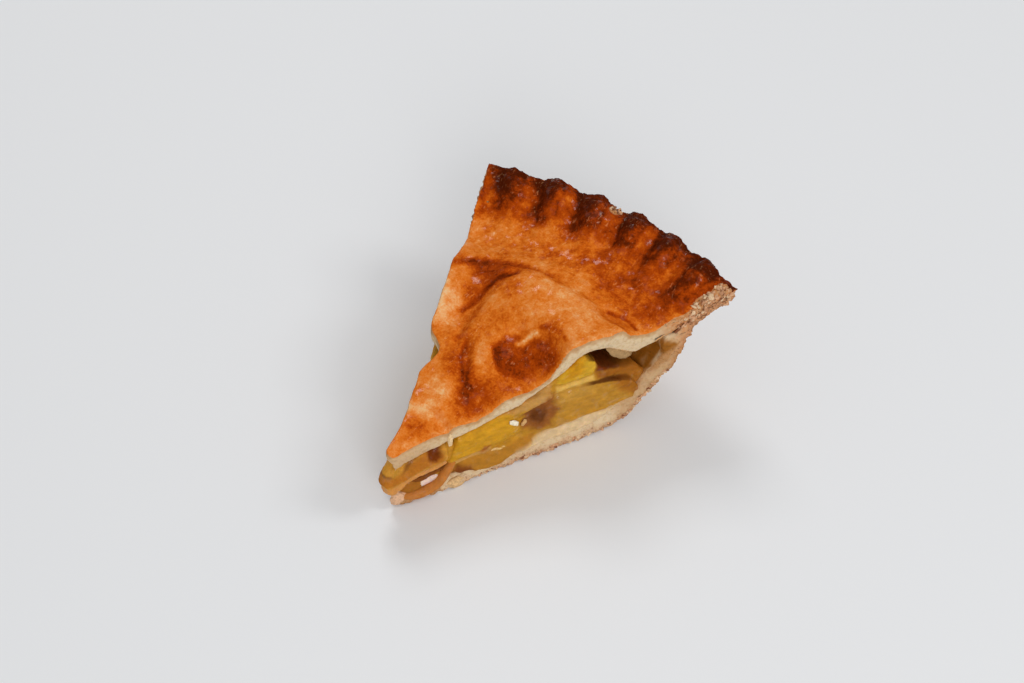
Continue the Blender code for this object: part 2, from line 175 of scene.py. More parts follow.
# %% [markdown]
# ## Soft steps, lines and patches
# Browning, creases and stains have no hard borders. These small functions say how much of a mark a point
# gets, from 0 to 1, so that marks can be added, mixed and used both to move points and to colour them.

# %% Marks
def ease(low, high, values):
    """0 below low, 1 above high and a smooth slope between."""
    share = np.clip((values - low) / (high - low), 0.0, 1.0)
    return share * share * (3 - 2 * share)


def hump(start, full, fall, end, values):
    """1 from full to fall, 0 before start and after end, and smooth slopes between."""
    return ease(start, full, values) * (1 - ease(fall, end, values))


def blend(share, first, second):
    """The first colour or amount, turning into the second as share goes from 0 to 1."""
    return np.array(first) * (1 - share) + np.array(second) * share


def line_distance(x, y, line):
    """Distance from each point to a run of points."""
    nearest = np.full(len(x), np.inf)
    for (ax, ay), (bx, by) in zip(line, line[1:]):
        dx, dy = bx - ax, by - ay
        share = np.clip(((x - ax) * dx + (y - ay) * dy) / (dx * dx + dy * dy), 0.0, 1.0)
        nearest = np.minimum(nearest, np.hypot(x - ax - share * dx, y - ay - share * dy))
    return nearest


def line_mark(x, y, line, width):
    """A soft mark along a line."""
    return np.exp(-((line_distance(x, y, line) / width) ** 2))


def oval_mark(x, y, middle, half, turn=0.0, soft=0.35):
    """A soft oval patch, turned by that many degrees."""
    c, s = math.cos(math.radians(turn)), math.sin(math.radians(turn))
    dx, dy = x - middle[0], y - middle[1]
    away = np.hypot((dx * c + dy * s) / half[0], (dy * c - dx * s) / half[1])
    return 1 - ease(1 - soft, 1 + soft, away)


def patch_mark(x, y, outline, soft):
    """A patch with that outline, whose border is soft over that width."""
    inside = np.zeros(len(x), bool)
    for (ax, ay), (bx, by) in zip(outline, outline[1:] + outline[:1]):
        crosses = (ay > y) != (by > y)
        at = ax + (y - ay) * (bx - ax) / (by - ay if by != ay else 1e-9)
        inside ^= crosses & (x < at)
    away = line_distance(x, y, outline + outline[:1]) * np.where(inside, 1, -1)
    return ease(-soft, soft, away)


print("a soft step:", ease(0.0, 1.0, np.linspace(0.0, 1.0, 6)).round(2))

# %% [markdown]
# Nothing baked is even. Blender's noise gives smooth lumps of any size, the same ones on every run, and a few
# layers of it, each half as large and half as strong as the last, give a rough surface.

# %% Unevenness
NOISE_REACH = 0.625


def grain(points, size, seed=0.0):
    """Smooth unevenness from about -1 to 1, with lumps of that size in mm."""
    return np.array([noise.noise(Vector(place)) for place in points / size + seed]) / NOISE_REACH


def rough_grain(points, size, seed=0.0, layers=3):
    """Grain with finer grain on it."""
    return sum(grain(points, size / 2**i, seed + 7.3 * i) / 2**i for i in range(layers)) / 1.5


row = np.stack((np.arange(6.0), np.zeros(6), np.zeros(6)), axis=1)
print("grain along a row of points:", grain(row, 2.5).round(2))

# %% [markdown]
# ## A fine skin for a coarse part
# A part's solid has flat facets of about 2 mm, which is fine for weight and collision but too plain to
# look at. Retopology by hand would take a day. A voxel remesh wraps the whole part in small even
# squares instead, and a Smooth modifier rounds the facets off. Both are applied, so that the points
# can then be moved one by one.

# %% Select, join and copy
def select_only(*pieces):
    """Selects these pieces and nothing else."""
    bpy.ops.object.select_all(action="DESELECT")
    for piece in pieces:
        piece.select_set(True)
    if pieces:
        bpy.context.view_layer.objects.active = pieces[0]


def named(name):
    """The object at work and its mesh, under that name."""
    piece = bpy.context.active_object
    piece.name = piece.data.name = name
    return piece


def joined(pieces, name):
    """One piece of that name from all of these."""
    select_only(*pieces)
    if len(pieces) > 1:
        bpy.ops.object.join()
    return named(name)


def copy_of(nodes, name):
    """Joins copies of the model's nodes into one new piece of that name, with its loose triangles merged."""
    copies = []
    for node in nodes:
        twin = frame["nodes"][node].copy()
        twin.data = twin.data.copy()
        twin.parent = None
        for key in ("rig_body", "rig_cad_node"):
            del twin[key]
        scene.collection.objects.link(twin)
        copies.append(twin)
    piece = joined(copies, name)
    bpy.ops.object.mode_set(mode="EDIT")
    bpy.ops.mesh.select_all(action="SELECT")
    bpy.ops.mesh.remove_doubles(threshold=1e-6)
    bpy.ops.mesh.normals_make_consistent(inside=False)
    bpy.ops.object.mode_set(mode="OBJECT")
    print(name, "starts with", len(piece.data.polygons), "faces")
    return piece


# %% Wrap, move and dress
def wrap(piece, square, rounds, swell=0.0):
    """Swells the piece by that many mm, wraps it in squares of that size and smooths it that many times."""
    if swell:
        grow = piece.modifiers.new("grow", "DISPLACE")
        grow.strength = swell * MM
        grow.mid_level = 0.0
    skin = piece.modifiers.new("skin", "REMESH")
    skin.mode = "VOXEL"
    skin.voxel_size = square * MM
    soften = piece.modifiers.new("soften", "SMOOTH")
    soften.factor = 0.5
    soften.iterations = rounds
    select_only(piece)
    for modifier in list(piece.modifiers):
        bpy.ops.object.modifier_apply(modifier=modifier.name)
    print(piece.name, "is wrapped in", len(piece.data.polygons), "faces")


def move_points(piece, points):
    """Puts the piece's points at these places in mm, and shades it smooth."""
    piece.data.vertices.foreach_set("co", (points * MM).astype(np.float32).ravel())
    piece.data.update()
    piece.data.shade_smooth()


def above_floor(points):
    """The points, with those below the floor lifted onto it."""
    return np.concatenate((points[:, :2], np.maximum(points[:, 2:], 0.0)), axis=1)


def dress(piece, material, nodes=()):
    """Gives the piece its material, says what it rides on and hides the parts of the model that it stands
    for.
    """
    piece.data.materials.clear()
    piece.data.materials.append(material)
    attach(piece, "root")
    if nodes:
        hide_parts(*nodes)
    print(piece.name, "has", len(piece.data.polygons), "faces and stands for", len(nodes), "nodes")


# %% Keep marks and colours on the mesh
def store_marks(piece, **marks):
    """Keeps marks on the mesh under their names, where the material can read them."""
    for name, values in marks.items():
        mark = piece.data.attributes.new(name, "FLOAT", "POINT")
        mark.data.foreach_set("value", np.clip(values, 0.0, 1.0).astype(np.float32))


def store_paint(piece, colours):
    """Keeps one colour, or one for each point, on the mesh as its paint."""
    rgba = np.ones((len(piece.data.vertices), 4))
    rgba[:, :3] = np.clip(colours, 0.0, 1.0)
    paint = piece.data.attributes.new("paint", "FLOAT_COLOR", "POINT")
    paint.data.foreach_set("color", rgba.astype(np.float32).ravel())


# %% [markdown]
# ## Shader maths as plain expressions
# A material is a graph of nodes. Written out node by node it is hard to read, so one small class wraps a
# socket: adding or multiplying two of them adds the Math node that does it. Every node is made by `add_node`.

# %% A socket that can be added and multiplied
def add_node(tree, kind, settings, inputs, out=0):
    """Adds a node: first its settings, a ramp's stops among them, then the values or links of its sockets."""
    made = tree.nodes.new(kind)
    for name, value in settings.items():
        if name != "stops":
            setattr(made, name, value)
            continue
        row = made.color_ramp.elements
        while len(row) < len(value):
            row.new(0.5)
        for stop, (at, colour) in zip(row, value):
            stop.position = at
            stop.color = (*colour, 1.0)
    for name, term in inputs.items():
        plug(tree, made.inputs[name], term)
    return Value(tree, made.outputs[out])


def plug(tree, socket, term):
    """Links a wrapped socket to an input, or sets the input to a plain value."""
    if isinstance(term, Value):
        tree.links.new(term.socket, socket)
    elif socket.type == "RGBA":
        socket.default_value = (*term, 1.0)
    else:
        socket.default_value = term


class Value:
    """A socket of a node, which can be added, subtracted and multiplied."""

    def __init__(self, tree, socket):
        self.tree = tree
        self.socket = socket

    def math(self, operation, *terms):
        return add_node(self.tree, "ShaderNodeMath", {"operation": operation}, dict(enumerate(terms)))

    def __add__(self, other):
        return self.math("ADD", self, other)

    def __sub__(self, other):
        return self.math("SUBTRACT", self, other)

    def __rsub__(self, other):
        return self.math("SUBTRACT", other, self)

    def __mul__(self, other):
        return self.math("MULTIPLY", self, other)

    __radd__ = __add__
    __rmul__ = __mul__

    def step(self, low, high):
        """0 below low, 1 above high and a smooth slope between."""
        ends = {"Value": self, "From Min": low, "From Max": high}
        return add_node(self.tree, "ShaderNodeMapRange", {"interpolation_type": "SMOOTHSTEP"}, ends)


# %% A material under construction
class Finish:
    """A node material: its Principled shader, and ways to add nodes to it."""

    def __init__(self, name):
        self.material = bpy.data.materials.new(name)
        self.material.use_nodes = True
        self.tree = self.material.node_tree
        self.shader = self.tree.nodes["Principled BSDF"]
        in_metres = {"Vector": self.node("ShaderNodeTexCoord", out="Object"), "Scale": 1 / MM}
        self.place = self.node("ShaderNodeVectorMath", {"operation": "SCALE"}, in_metres)

    def node(self, kind, settings=None, inputs=None, out=0):
        return add_node(self.tree, kind, settings or {}, inputs or {}, out)

    def mark(self, name, out="Fac"):
        """A mark or a colour that is kept on the mesh."""
        return self.node("ShaderNodeAttribute", {"attribute_name": name}, out=out)

    def stretched(self, *scale):
        """The place in mm, scaled by that much in x, y and z."""
        return self.node("ShaderNodeVectorMath", {"operation": "MULTIPLY"}, {0: self.place, 1: scale})

    def noise(self, size, detail=3.0, roughness=0.55, place=None, distortion=0.0):
        """Noise from 0 to 1 with lumps of that size in mm."""
        return self.node("ShaderNodeTexNoise", None, {
            "Vector": place or self.place, "Scale": 1 / size, "Detail": detail, "Roughness": roughness,
            "Distortion": distortion,
        })

    def ramp(self, amount, stops):
        """A colour read off a row of (place, colour) stops."""
        return self.node("ShaderNodeValToRGB", {"stops": stops}, {0: amount})

    def mix(self, amount, first, second, how="MIX"):
        """Colour first, turning into second as amount goes from 0 to 1."""
        settings = {"data_type": "RGBA", "blend_type": how}
        return self.node("ShaderNodeMix", settings, {0: amount, 6: first, 7: second}, out=2)

    def shaded(self, colour, shade):
        """The colour times a number, where 1 leaves it as it is."""
        grey = self.node("ShaderNodeCombineColor", None, {"Red": shade, "Green": shade, "Blue": shade})
        return self.mix(1.0, colour, grey, "MULTIPLY")

    def bump(self, height, distance, strength):
        """Low relief, where a height of 1 is that many mm."""
        return self.node("ShaderNodeBump", None, {
            "Height": height, "Distance": distance * MM, "Strength": strength,
        })

    def set(self, **inputs):
        """Sets or links sockets of the shader. Spaces in their names are written as underscores."""
        for name, term in inputs.items():
            plug(self.tree, self.shader.inputs[name.replace("_", " ")], term)


# %% [markdown]
# ## The browned lid
# The lid is rolled dough, brushed with egg and baked. It is deepest brown where it stands up to the heat, on
# the crimped rim, and paler where it is thick or sheltered. The dome over the fruit is creased and dented
# where the fruit sank. Each of these is a mark with a place, a size and an amount. Moving points by the marks
# gives the relief, and the same marks then say how dark each point is painted, so colour and shape agree.
# Most of that is browning. In the creases, the fold, the front grooves, the sunken corner and along the
# dome's shoulder it is painted shade. In the rim's grooves it is browning and painted shade, and one pale
# streak is a painted highlight.

# %% Where the lid's creases and dents are
BAND_CREASE = [
    (-34.6, 71.5), (-32.4, 76.9), (-27.6, 79.1), (-22.6, 80.9), (-14.9, 83.1), (-10.8, 84.0), (-3.8, 83.6),
    (5.2, 84.2), (11.7, 85.4),
]
SIDE_CREASE = [(-15.8, 77.6), (-18.5, 75.0), (-20.1, 72.5), (-21.3, 69.0), (-21.6, 65.0), (-23.3, 61.0)]
SHOULDER = [(-18.4, 64.0), (-17.8, 57.0), (-16.8, 51.7)]
FRONT_GROOVES = [
    [(-14.0, 52.0), (-12.0, 47.4), (-10.1, 45.5), (-7.3, 42.4)], [(-9.6, 47.8), (-7.5, 44.7), (-5.3, 41.4)],
]
FOLD = [(13.2, 85.2), (17.3, 86.5), (20.5, 86.3), (23.7, 84.9)]
CORNER = [(-31.0, 76.5), (-20.0, 79.5), (-17.5, 76.5), (-21.0, 70.0), (-22.0, 63.0), (-26.5, 66.0)]
DENT = [
    (-6.3, 54.4), (-3.7, 52.0), (-0.8, 50.4), (1.9, 50.8), (5.1, 52.4), (8.5, 55.1), (12.2, 58.3),
    (14.2, 61.4), (13.0, 64.6), (8.5, 66.2), (2.6, 65.4), (-1.6, 62.6), (-5.0, 58.4),
]
DENT_ARCH = [(2.6, 65.6), (5.6, 66.9), (9.0, 66.8), (12.4, 65.2)]
DENT_RIM = [(-6.6, 55.2), (-4.2, 52.3), (-0.8, 50.3), (1.9, 50.8), (4.8, 52.3)]
BLISTER = [(-14.0, 39.5), (-9.0, 38.8), (-5.5, 35.0), (-5.6, 31.0), (-9.0, 28.5), (-14.5, 30.0)]
# A pale streak over the dent, raised a little and painted as a highlight.
HIGHLIGHT_STREAK = [(-0.6, 60.0), (0.8, 62.2), (2.6, 64.2)]
SLIT_LINE = [(85.2, 32.6), (88.2, 33.0), (91.6, 33.4)]
GROOVE_SPOTS = [-0.12, 0.02, 0.171, 0.332, 0.475, 0.660, 0.806, 0.960, 1.11]
FLUTE_LEAN = 0.0034
RIM_EDGE = 118.4
print("the rim is crimped into", len(GROOVE_SPOTS) - 1, "flutes")


# %% Places between the rim's grooves
def flute_share(radius, across):
    """Place between two crimped grooves: 0 just left of one, rising to 1 at the next on the left."""
    leaning = across + FLUTE_LEAN * (RIM_RADIUS - radius)
    return np.interp(leaning, GROOVE_SPOTS, range(len(GROOVE_SPOTS))) % 1.0


def near_share(share, at, width):
    """A soft mark round that place between the grooves."""
    away = np.abs((share - at + 0.5) % 1.0 - 0.5)
    return np.exp(-((away / width) ** 2))


# %% [markdown]
# The lid's marks are worked out once for all its points. Faces that point up and lie away from the cuts are
# egg-washed crust. Faces near a cut that stand upright are bare crumb, and so is the corner where the skin
# broke. Beyond RIM_EDGE the rim is skin again, whichever way it faces.

# %% The lid's marks
def lid_marks(points, normals):
    """How much of each mark every point of the lid gets."""
    x, y, radius, along, across = places(points)
    right, left = behind_cuts(points)
    upright = 1 - ease(0.30, 0.66, np.abs(normals[:, 2]))
    on_right_cut = (1 - ease(0.5, 2.0, right)) * upright
    share = flute_share(radius, across + 0.006 * grain(points, 3.5, 2.0))
    grip = ease(101.0, 109.0, radius + 2.0 * grain(points, 4.0, 9.0))
    bare = (1 - ease(1.6, 3.8, right + 1.3 * rough_grain(points, 2.4, 63.0))) * ease(94.5, 100.0, along)
    left_reach = np.where(left < right, 4.2 * (1 - ease(92.0, 98.0, radius)), 0.0)
    near_cut = 1 - ease(1.4, 2.6, np.minimum(right, left) - left_reach)
    crack_at = along - 17.5 + 2.5 * across
    return {
        "top": ease(-0.5, 0.4, normals[:, 2]),
        "cut": np.maximum(upright * near_cut, bare) * (radius < RIM_EDGE),
        "bare": bare * (radius < RIM_EDGE),
        "band_crease": line_mark(x, y, BAND_CREASE, 1.5) * (1 - 0.75 * ease(-16.0, 6.0, x)),
        "side_crease": line_mark(x, y, SIDE_CREASE, 1.25),
        "shoulder": line_mark(x, y, SHOULDER, 1.6),
        "groove": np.maximum(*(line_mark(x, y, line, 0.85) for line in FRONT_GROOVES)),
        "fold": line_mark(x, y, FOLD, 0.6),
        "fold_inside": oval_mark(x, y, (18.6, 82.6), (6.6, 3.2), -4.0),
        "fold_bulge": oval_mark(x, y, (23.0, 80.8), (5.5, 3.6), -12.0, 0.7),
        "corner": patch_mark(x, y, CORNER, 2.5),
        "dent": patch_mark(x, y, DENT, 0.8 + 2.6 * ease(-4.0, 6.0, x)),
        "dent_rim": line_mark(x - 0.7, y - 0.7, DENT_RIM, 1.9) * patch_mark(x, y, DENT, 0.8),
        "dent_arch": line_mark(x, y, DENT_ARCH, 0.7),
        "blister": patch_mark(x, y, BLISTER, 3.0),
        "highlight_streak": line_mark(x, y, HIGHLIGHT_STREAK, 0.85 + 0.35 * grain(points, 1.6, 51.0)),
        "crack": np.exp(-((crack_at / 0.9) ** 2)),
        "slit": line_mark(along, points[:, 2], SLIT_LINE, 0.5) * on_right_cut,
        "crack_lip": np.exp(-(((along - 17.9) / 0.7) ** 2)) * on_right_cut,
        # These three marks darken the rim's grooves and the flank beside each: browning, and painted shade in
        # the grooves.
        "groove_floor": near_share(share, 0.98, 0.075) * grip,
        "flank_browning_and_shade": near_share(share, 0.78, 0.20) * grip,
        "streaks": near_share(share, 0.88, 0.19) * ease(96.0, 109.0, radius + 2.0 * grain(points, 3.0, 19.0)),
        "ridge": near_share(share, 0.62, 0.15) * grip,
        "line": near_share(share, 0.42, 0.05) * grip,
        "scoop": near_share(share, 0.18, 0.15) * grip,
        "edge": ease(115.5, 119.5, radius + 0.8 * grain(points, 2.5, 44.0)),
        "torn": np.exp(-(((across - 0.512) / 0.027) ** 2)) * ease(113.5, 117.5, radius),
    }


lid = copy_of(["top_crust"], "lid")
wrap(lid, square=0.43, rounds=11)
lid_points, lid_normals = points_of(lid), normals_of(lid)
marks = lid_marks(lid_points, lid_normals)
print("marks on the lid:", ", ".join(marks))

# %% [markdown]
# Relief first. Grooves and creases sink, ridges and the lips beside creases rise, and the baked skin
# gets its fine unevenness. The cut crumb is smooth where the dough is thick and torn to flakes at
# the thin, dry end of the rim.

# %% Shape the lid
RISE_BY = {
    "ridge": 0.45, "groove_floor": -0.75, "line": -0.12, "side_crease": -0.55, "groove": -0.55, "bare": -1.1,
    "fold": -0.5, "fold_inside": -0.5, "fold_bulge": 1.9, "blister": 0.3, "crack": -0.35, "highlight_streak": 0.35,
    "dent": -0.55, "dent_rim": -0.25, "dent_arch": -0.25,
}
x, y, radius, along, across = places(lid_points)
right, left = behind_cuts(lid_points)
to_cut = np.minimum(right, left)
skin_grain = rough_grain(lid_points, 5.0, 3.1)
fine_grain = rough_grain(lid_points, 1.5, 8.7, 2)
wrinkles = rough_grain(lid_points, 2.6, 15.0, 2)
crumb = rough_grain(lid_points, 1.7, 21.0)
on_band = ease(84.0, 92.0, radius)
dry = ease(92.0, 99.0, radius)
rise = (
    sum(amount * marks[name] for name, amount in RISE_BY.items())
    - 0.35 * marks["band_crease"] * ease(-34.0, -28.0, x)
    + 0.14 * skin_grain + (0.06 + 0.05 * on_band) * fine_grain + (0.05 + 0.15 * on_band) * wrinkles
)
dry_relief = 0.50 * dry * (1 - 0.8 * ease(0.4, 0.6, across))
frayed = 0.45 * rough_grain(lid_points, 1.8, 33.0) * ease(112.5, 118.0, radius)
stand_out = marks["cut"] * (0.08 + dry_relief) * crumb + 0.5 * (marks["crack_lip"] - marks["slit"]) + frayed
torn = marks["torn"] * (0.1 + 0.7 * np.abs(crumb))
lifted = np.zeros_like(lid_points)
lifted[:, 2] = rise * marks["top"] - 1.0 * ease(0.92, 1.0, across) * ease(105.0, 114.0, radius)
left_edge = 0.7 * (1 - ease(0.0, 5.0, left)) * hump(35.0, 42.0, 72.0, 80.0, along)
lifted += left_edge[:, None] * np.array(cut_frame("left")[1])
move_points(lid, lid_points + lid_normals * (stand_out - torn)[:, None] + lifted)
print("the lid's marks move it by", rise.min().round(2), "to", rise.max().round(2), "mm")

# %% [markdown]
# Then browning, from 0 for bare dough to 1 for the darkest brown. The marks give most of it, some of it as
# painted shade or a painted highlight. What remains are broad tones: ovals of the lid, each with its middle,
# half size, turn and amount. Most stand for parts that caught more heat or less; the few dark ones along the
# creases and the front grooves are painted shade.

# %% Brown the lid
# Browning that each mark adds. In the creases (band_crease, side_crease, shoulder, groove, fold), the fold's
# dimple and the sunken corner the darkening is painted shade; the pale streak over the dent is a painted
# highlight.
BROWN_BY = {
    "ridge": 0.06, "line": 0.10, "scoop": -0.05, "edge": 0.12, "band_crease": 0.21, "side_crease": 0.29,
    "shoulder": 0.10, "groove": 0.17, "corner": 0.16, "dent": 0.24, "dent_rim": 0.10, "fold_inside": 0.15,
    "fold": 0.30, "blister": -0.06, "highlight_streak": -0.44, "crack": -0.10, "dent_arch": 0.16,
}
# Broad ovals: middle, half size, turn and amount. Most are tone where the lid browned more or less; the dark
# ones along the band crease at (-25, 78), the side crease at (-19.5, 73.5) and the front grooves at (-9,
# 45.3) are painted shade.
TONES = [
    ((-12.0, 79.0), (11.0, 4.0), -10.0, -0.03), ((5.0, 78.0), (11.0, 6.5), 0.0, -0.09),
    ((15.0, 72.5), (7.0, 8.0), 0.0, -0.05), ((-10.0, 64.0), (7.0, 10.0), 10.0, -0.01),
    ((-1.5, 70.5), (5.0, 3.5), 0.0, -0.09), ((-25.0, 78.0), (9.0, 2.6), 14.0, 0.16),
    ((-19.5, 73.5), (5.0, 3.0), 60.0, 0.08), ((12.5, 66.5), (3.5, 3.5), 0.0, -0.05),
    ((-28.0, 83.5), (8.0, 3.5), 20.0, -0.03), ((-14.0, 86.0), (10.0, 2.2), 5.0, -0.05),
    ((26.0, 86.5), (5.0, 4.0), 0.0, -0.10), ((-12.0, 97.0), (15.0, 5.0), 0.0, 0.03),
    ((3.0, 96.0), (12.0, 7.0), 0.0, 0.09), ((16.0, 95.0), (11.0, 6.0), 10.0, 0.15),
    ((27.0, 95.0), (8.0, 8.0), 20.0, 0.18), ((-28.0, 60.0), (4.0, 8.0), 30.0, -0.24),
    ((-6.9, 50.4), (2.0, 4.6), 35.0, -0.10), ((-2.0, 45.5), (6.5, 4.5), 30.0, 0.11),
    ((-1.0, 39.5), (6.5, 4.0), 60.0, 0.15), ((7.0, 49.0), (7.0, 3.0), 60.0, 0.07),
    ((-12.0, 55.0), (4.5, 6.0), 20.0, 0.06), ((-13.5, 42.5), (2.5, 5.0), 25.0, 0.12),
    ((-11.5, 34.0), (4.5, 5.0), 30.0, -0.05), ((-8.0, 30.6), (4.0, 1.4), 20.0, -0.10),
    ((-7.5, 22.5), (5.0, 4.0), 0.0, 0.08), ((-10.5, 26.5), (6.0, 1.6), 10.0, -0.12),
    ((-9.0, 45.3), (9.0, 3.2), -42.0, 0.15), ((-3.5, 38.0), (5.0, 3.0), -20.0, 0.06),
]
TONE_SOFTNESS = 0.6
LID_BAKE = 0.43
UNDERSIDE_BAKE = 0.10

outer_share = 0.75 + 0.25 * ease(109.0, 116.0, radius)
bake = (
    LID_BAKE + sum(amount * marks[name] for name, amount in BROWN_BY.items())
    + sum(amount * oval_mark(x, y, *oval, TONE_SOFTNESS) for *oval, amount in TONES)
    + 0.25 * ease(99.0, 109.0, radius) + 0.11 * ease(110.0, 116.0, radius)
    # browning and painted shade in the rim's grooves and on the flank beside them
    + outer_share * (0.12 * marks["groove_floor"] + 0.09 * marks["flank_browning_and_shade"] + 0.20 * marks["streaks"])
    - 0.07 * (1 - ease(0.4, 2.2, to_cut))
    + 0.08 * rough_grain(lid_points, 9.0, 40.0) + 0.03 * skin_grain - 0.07 * wrinkles * on_band
    + 0.10 * rough_grain(lid_points, 4.6, 90.0) * (0.35 + 0.65 * on_band)
)
bake = blend(1 - ease(-0.45, -0.15, lid_normals[:, 2]), bake, UNDERSIDE_BAKE)
print("lid browned from", bake.min().round(2), "to", bake.max().round(2))

# %% [markdown]
# The cut through the lid is tanned just below its baked edge. How deep a point lies is measured from the edge
# beside it: the mean height of the lid's top at that step along the cut.

# %% Tan the lid's cuts
EDGE_STEP = 1.5
depth = np.zeros(len(lid_points))
for here in (right < left, right >= left):
    edge = here & (lid_normals[:, 2] > 0.7) & (to_cut < 1.2)
    steps = (along[edge] / EDGE_STEP).round().astype(int)
    found = np.bincount(steps)
    top = np.bincount(steps, lid_points[edge, 2])[found > 0] / found[found > 0]
    depth[here] = np.interp(along[here], np.flatnonzero(found) * EDGE_STEP, top) - lid_points[here, 2]
edge_tan = 1 - ease(0.5, 2.8, depth + 0.6 * grain(lid_points, 1.5, 71.0))
tip_tan = 1 - ease(6.0, 24.0, along)
store_marks(
    # dark is the slit, painted as shade.
    lid, bake=bake, cut=np.maximum(marks["cut"], 0.85 * marks["torn"]), dry=dry, dark=marks["slit"],
    stain=np.maximum(0.32 * tip_tan, 0.46 * edge_tan * (1 - 0.6 * dry)), toast=np.zeros(len(lid_points)),
)
print("the lid is up to", depth.max().round(1), "mm deep at its cuts")

# %% [markdown]
# ## Crust finish
# One recipe serves both crusts. A ramp turns browning into colour, from raw cream through gold and orange to
# nearly black brown. Noise breaks the browning up, as no oven browns evenly, and small pale pink spots on
# the skin are painted highlights. The egg wash is a thin clear coat, with patches where it ran dry. Cut crumb
# is matt and cream; its pores between the flakes are painted dark as shade, the same dark colour marks
# toasted specks, and a slit is painted near black as shade.

# %% Crust colours
BROWNING = [
    (0.00, (0.80, 0.62, 0.38)), (0.16, (0.86, 0.44, 0.17)), (0.28, (0.80, 0.27, 0.060)),
    (0.41, (0.72, 0.18, 0.016)), (0.52, (0.60, 0.118, 0.006)), (0.62, (0.44, 0.064, 0.0025)),
    (0.73, (0.34, 0.043, 0.0015)), (0.86, (0.16, 0.019, 0.0010)), (1.00, (0.075, 0.009, 0.0006)),
]
TIN_BROWNING = [
    (0.00, (0.78, 0.60, 0.38)), (0.25, (0.70, 0.46, 0.23)), (0.45, (0.58, 0.31, 0.12)),
    (0.65, (0.42, 0.19, 0.06)), (0.85, (0.26, 0.10, 0.03)), (1.00, (0.12, 0.045, 0.015)),
]
CRUMB_PALE = (0.70, 0.535, 0.335)
CRUMB_TAN = (0.58, 0.39, 0.21)
CRUMB_DRY = (0.58, 0.25, 0.095)
# Painted shade in the crumb's pores, and the colour of toasted specks.
PORE_SHADE_AND_SPECKS = (0.10, 0.035, 0.012)
HONEY_STAIN = (0.50, 0.19, 0.020)
# Syrup stain, and painted shade on the inside of the bottom crust's wall.
SYRUP_STAIN_AND_SHADE = (0.27, 0.088, 0.008)
TOASTED = (0.52, 0.25, 0.125)
# Painted shade in the slit.
SLIT_SHADE = (0.020, 0.010, 0.006)
# Small pale pink spots on the skin: painted highlights.
GLINT_FLECK = (0.86, 0.45, 0.20)
print("the lid browns over", len(BROWNING), "colours and the tin's side over", len(TIN_BROWNING))


# %% Crust material
def crust_finish(name, browning, gloss):
    """Baked skin and cut crumb, told apart by the marks on the mesh."""
    finish = Finish(name)
    bake, cut, dry, dark, stain, toast = (
        finish.mark(mark) for mark in ("bake", "cut", "dry", "dark", "stain", "toast")
    )
    broad = finish.noise(5.0, 4.0, 0.6)
    blotch = finish.noise(1.9, 4.0, 0.65, distortion=0.5)
    fine = finish.noise(0.6, 2.0, 0.5)
    # Small pale pink spots, painted highlights that also lighten the browning.
    glint_flecks = finish.noise(0.9, 3.0, 0.6, finish.stretched(1.0, 0.45, 1.0), 0.6).step(0.57, 0.70)
    glint_flecks = glint_flecks * finish.noise(5.0, 2.0).step(0.40, 0.62)
    browned = bake + (broad - 0.5) * 0.40 + (blotch - 0.5) * 0.50 + (fine - 0.5) * 0.26 - glint_flecks * 0.08
    skin = finish.mix(glint_flecks * 0.24, finish.ramp(browned, browning), GLINT_FLECK)
    flakes = finish.noise(1.1, 4.0, 0.65)
    pores = finish.noise(1.0, 3.0, 0.6, finish.stretched(0.5, 0.5, 1.5), 0.8).step(0.58, 0.68)
    specks = finish.noise(0.7, 3.0, 0.6).step(0.54, 0.64)
    crumb = finish.mix(flakes.step(0.45, 0.70) * 0.8, CRUMB_PALE, CRUMB_TAN)
    crumb = finish.mix(dry * flakes.step(0.85, 0.40), crumb, CRUMB_DRY)
    crumb = finish.mix(toast * (0.55 + specks * 0.45), crumb, TOASTED)
    crumb = finish.mix(stain.step(0.0, 0.8), crumb, finish.mix(stain, HONEY_STAIN, SYRUP_STAIN_AND_SHADE))
    # Pores painted dark as shade; toasted specks take the same colour.
    crumb = finish.mix(pores * (0.13 + 0.60 * dry), crumb, PORE_SHADE_AND_SPECKS)
    crumb = finish.mix(toast * specks * 0.55, crumb, PORE_SHADE_AND_SPECKS)
    # The slit is painted near black as shade.
    crumb = finish.mix(dark, crumb, SLIT_SHADE)
    skin_relief = broad * 0.3 + blotch * 0.45 + fine * 0.16
    crumb_relief = flakes * 0.5 - pores * (0.4 + dry * 0.6)
    finish.set(
        Base_Color=finish.mix(cut.step(0.35, 0.65), skin, crumb),
        Roughness=0.50 + (blotch - 0.5) * 0.35 + cut * 0.40,
        Specular_IOR_Level=0.01,
        Coat_Weight=(1 - cut) * (gloss * finish.noise(3.0, 3.0).step(0.55, 0.67)),
        Coat_Roughness=0.18,
        Subsurface_Weight=0.06,
        Subsurface_Radius=(1.0, 0.40, 0.12),
        Subsurface_Scale=1.0 * MM,
        Normal=finish.bump(skin_relief * (1 - cut) + crumb_relief * cut, 0.34, 0.7),
    )
    return finish.material


EGG_WASH = 0.55
dress(lid, crust_finish("browned_crust", BROWNING, EGG_WASH), ["top_crust"])

# %% [markdown]
# ## The bottom crust
# The bottom crust is pale inside and crumbly at the cuts, with toasted flakes along its lower edge. Its
# outside baked against the tin, so it is smoother and evenly golden brown. Its shape is given by lines: the
# lower edge is a height for each radius, and the outer wall a radius for each height.

# %% Shape the bottom crust
FLOOR_LINE = ([70.0, 78.0, 86.0, 91.5, 98.5, 103.6], [0.0, 0.4, 3.2, 9.5, 18.0, 25.5])
WALL_LINE = ([5.0, 15.0, 25.0, 31.0], [88.0, 96.0, 103.0, 105.0])
WALL_BULGE = 0.8

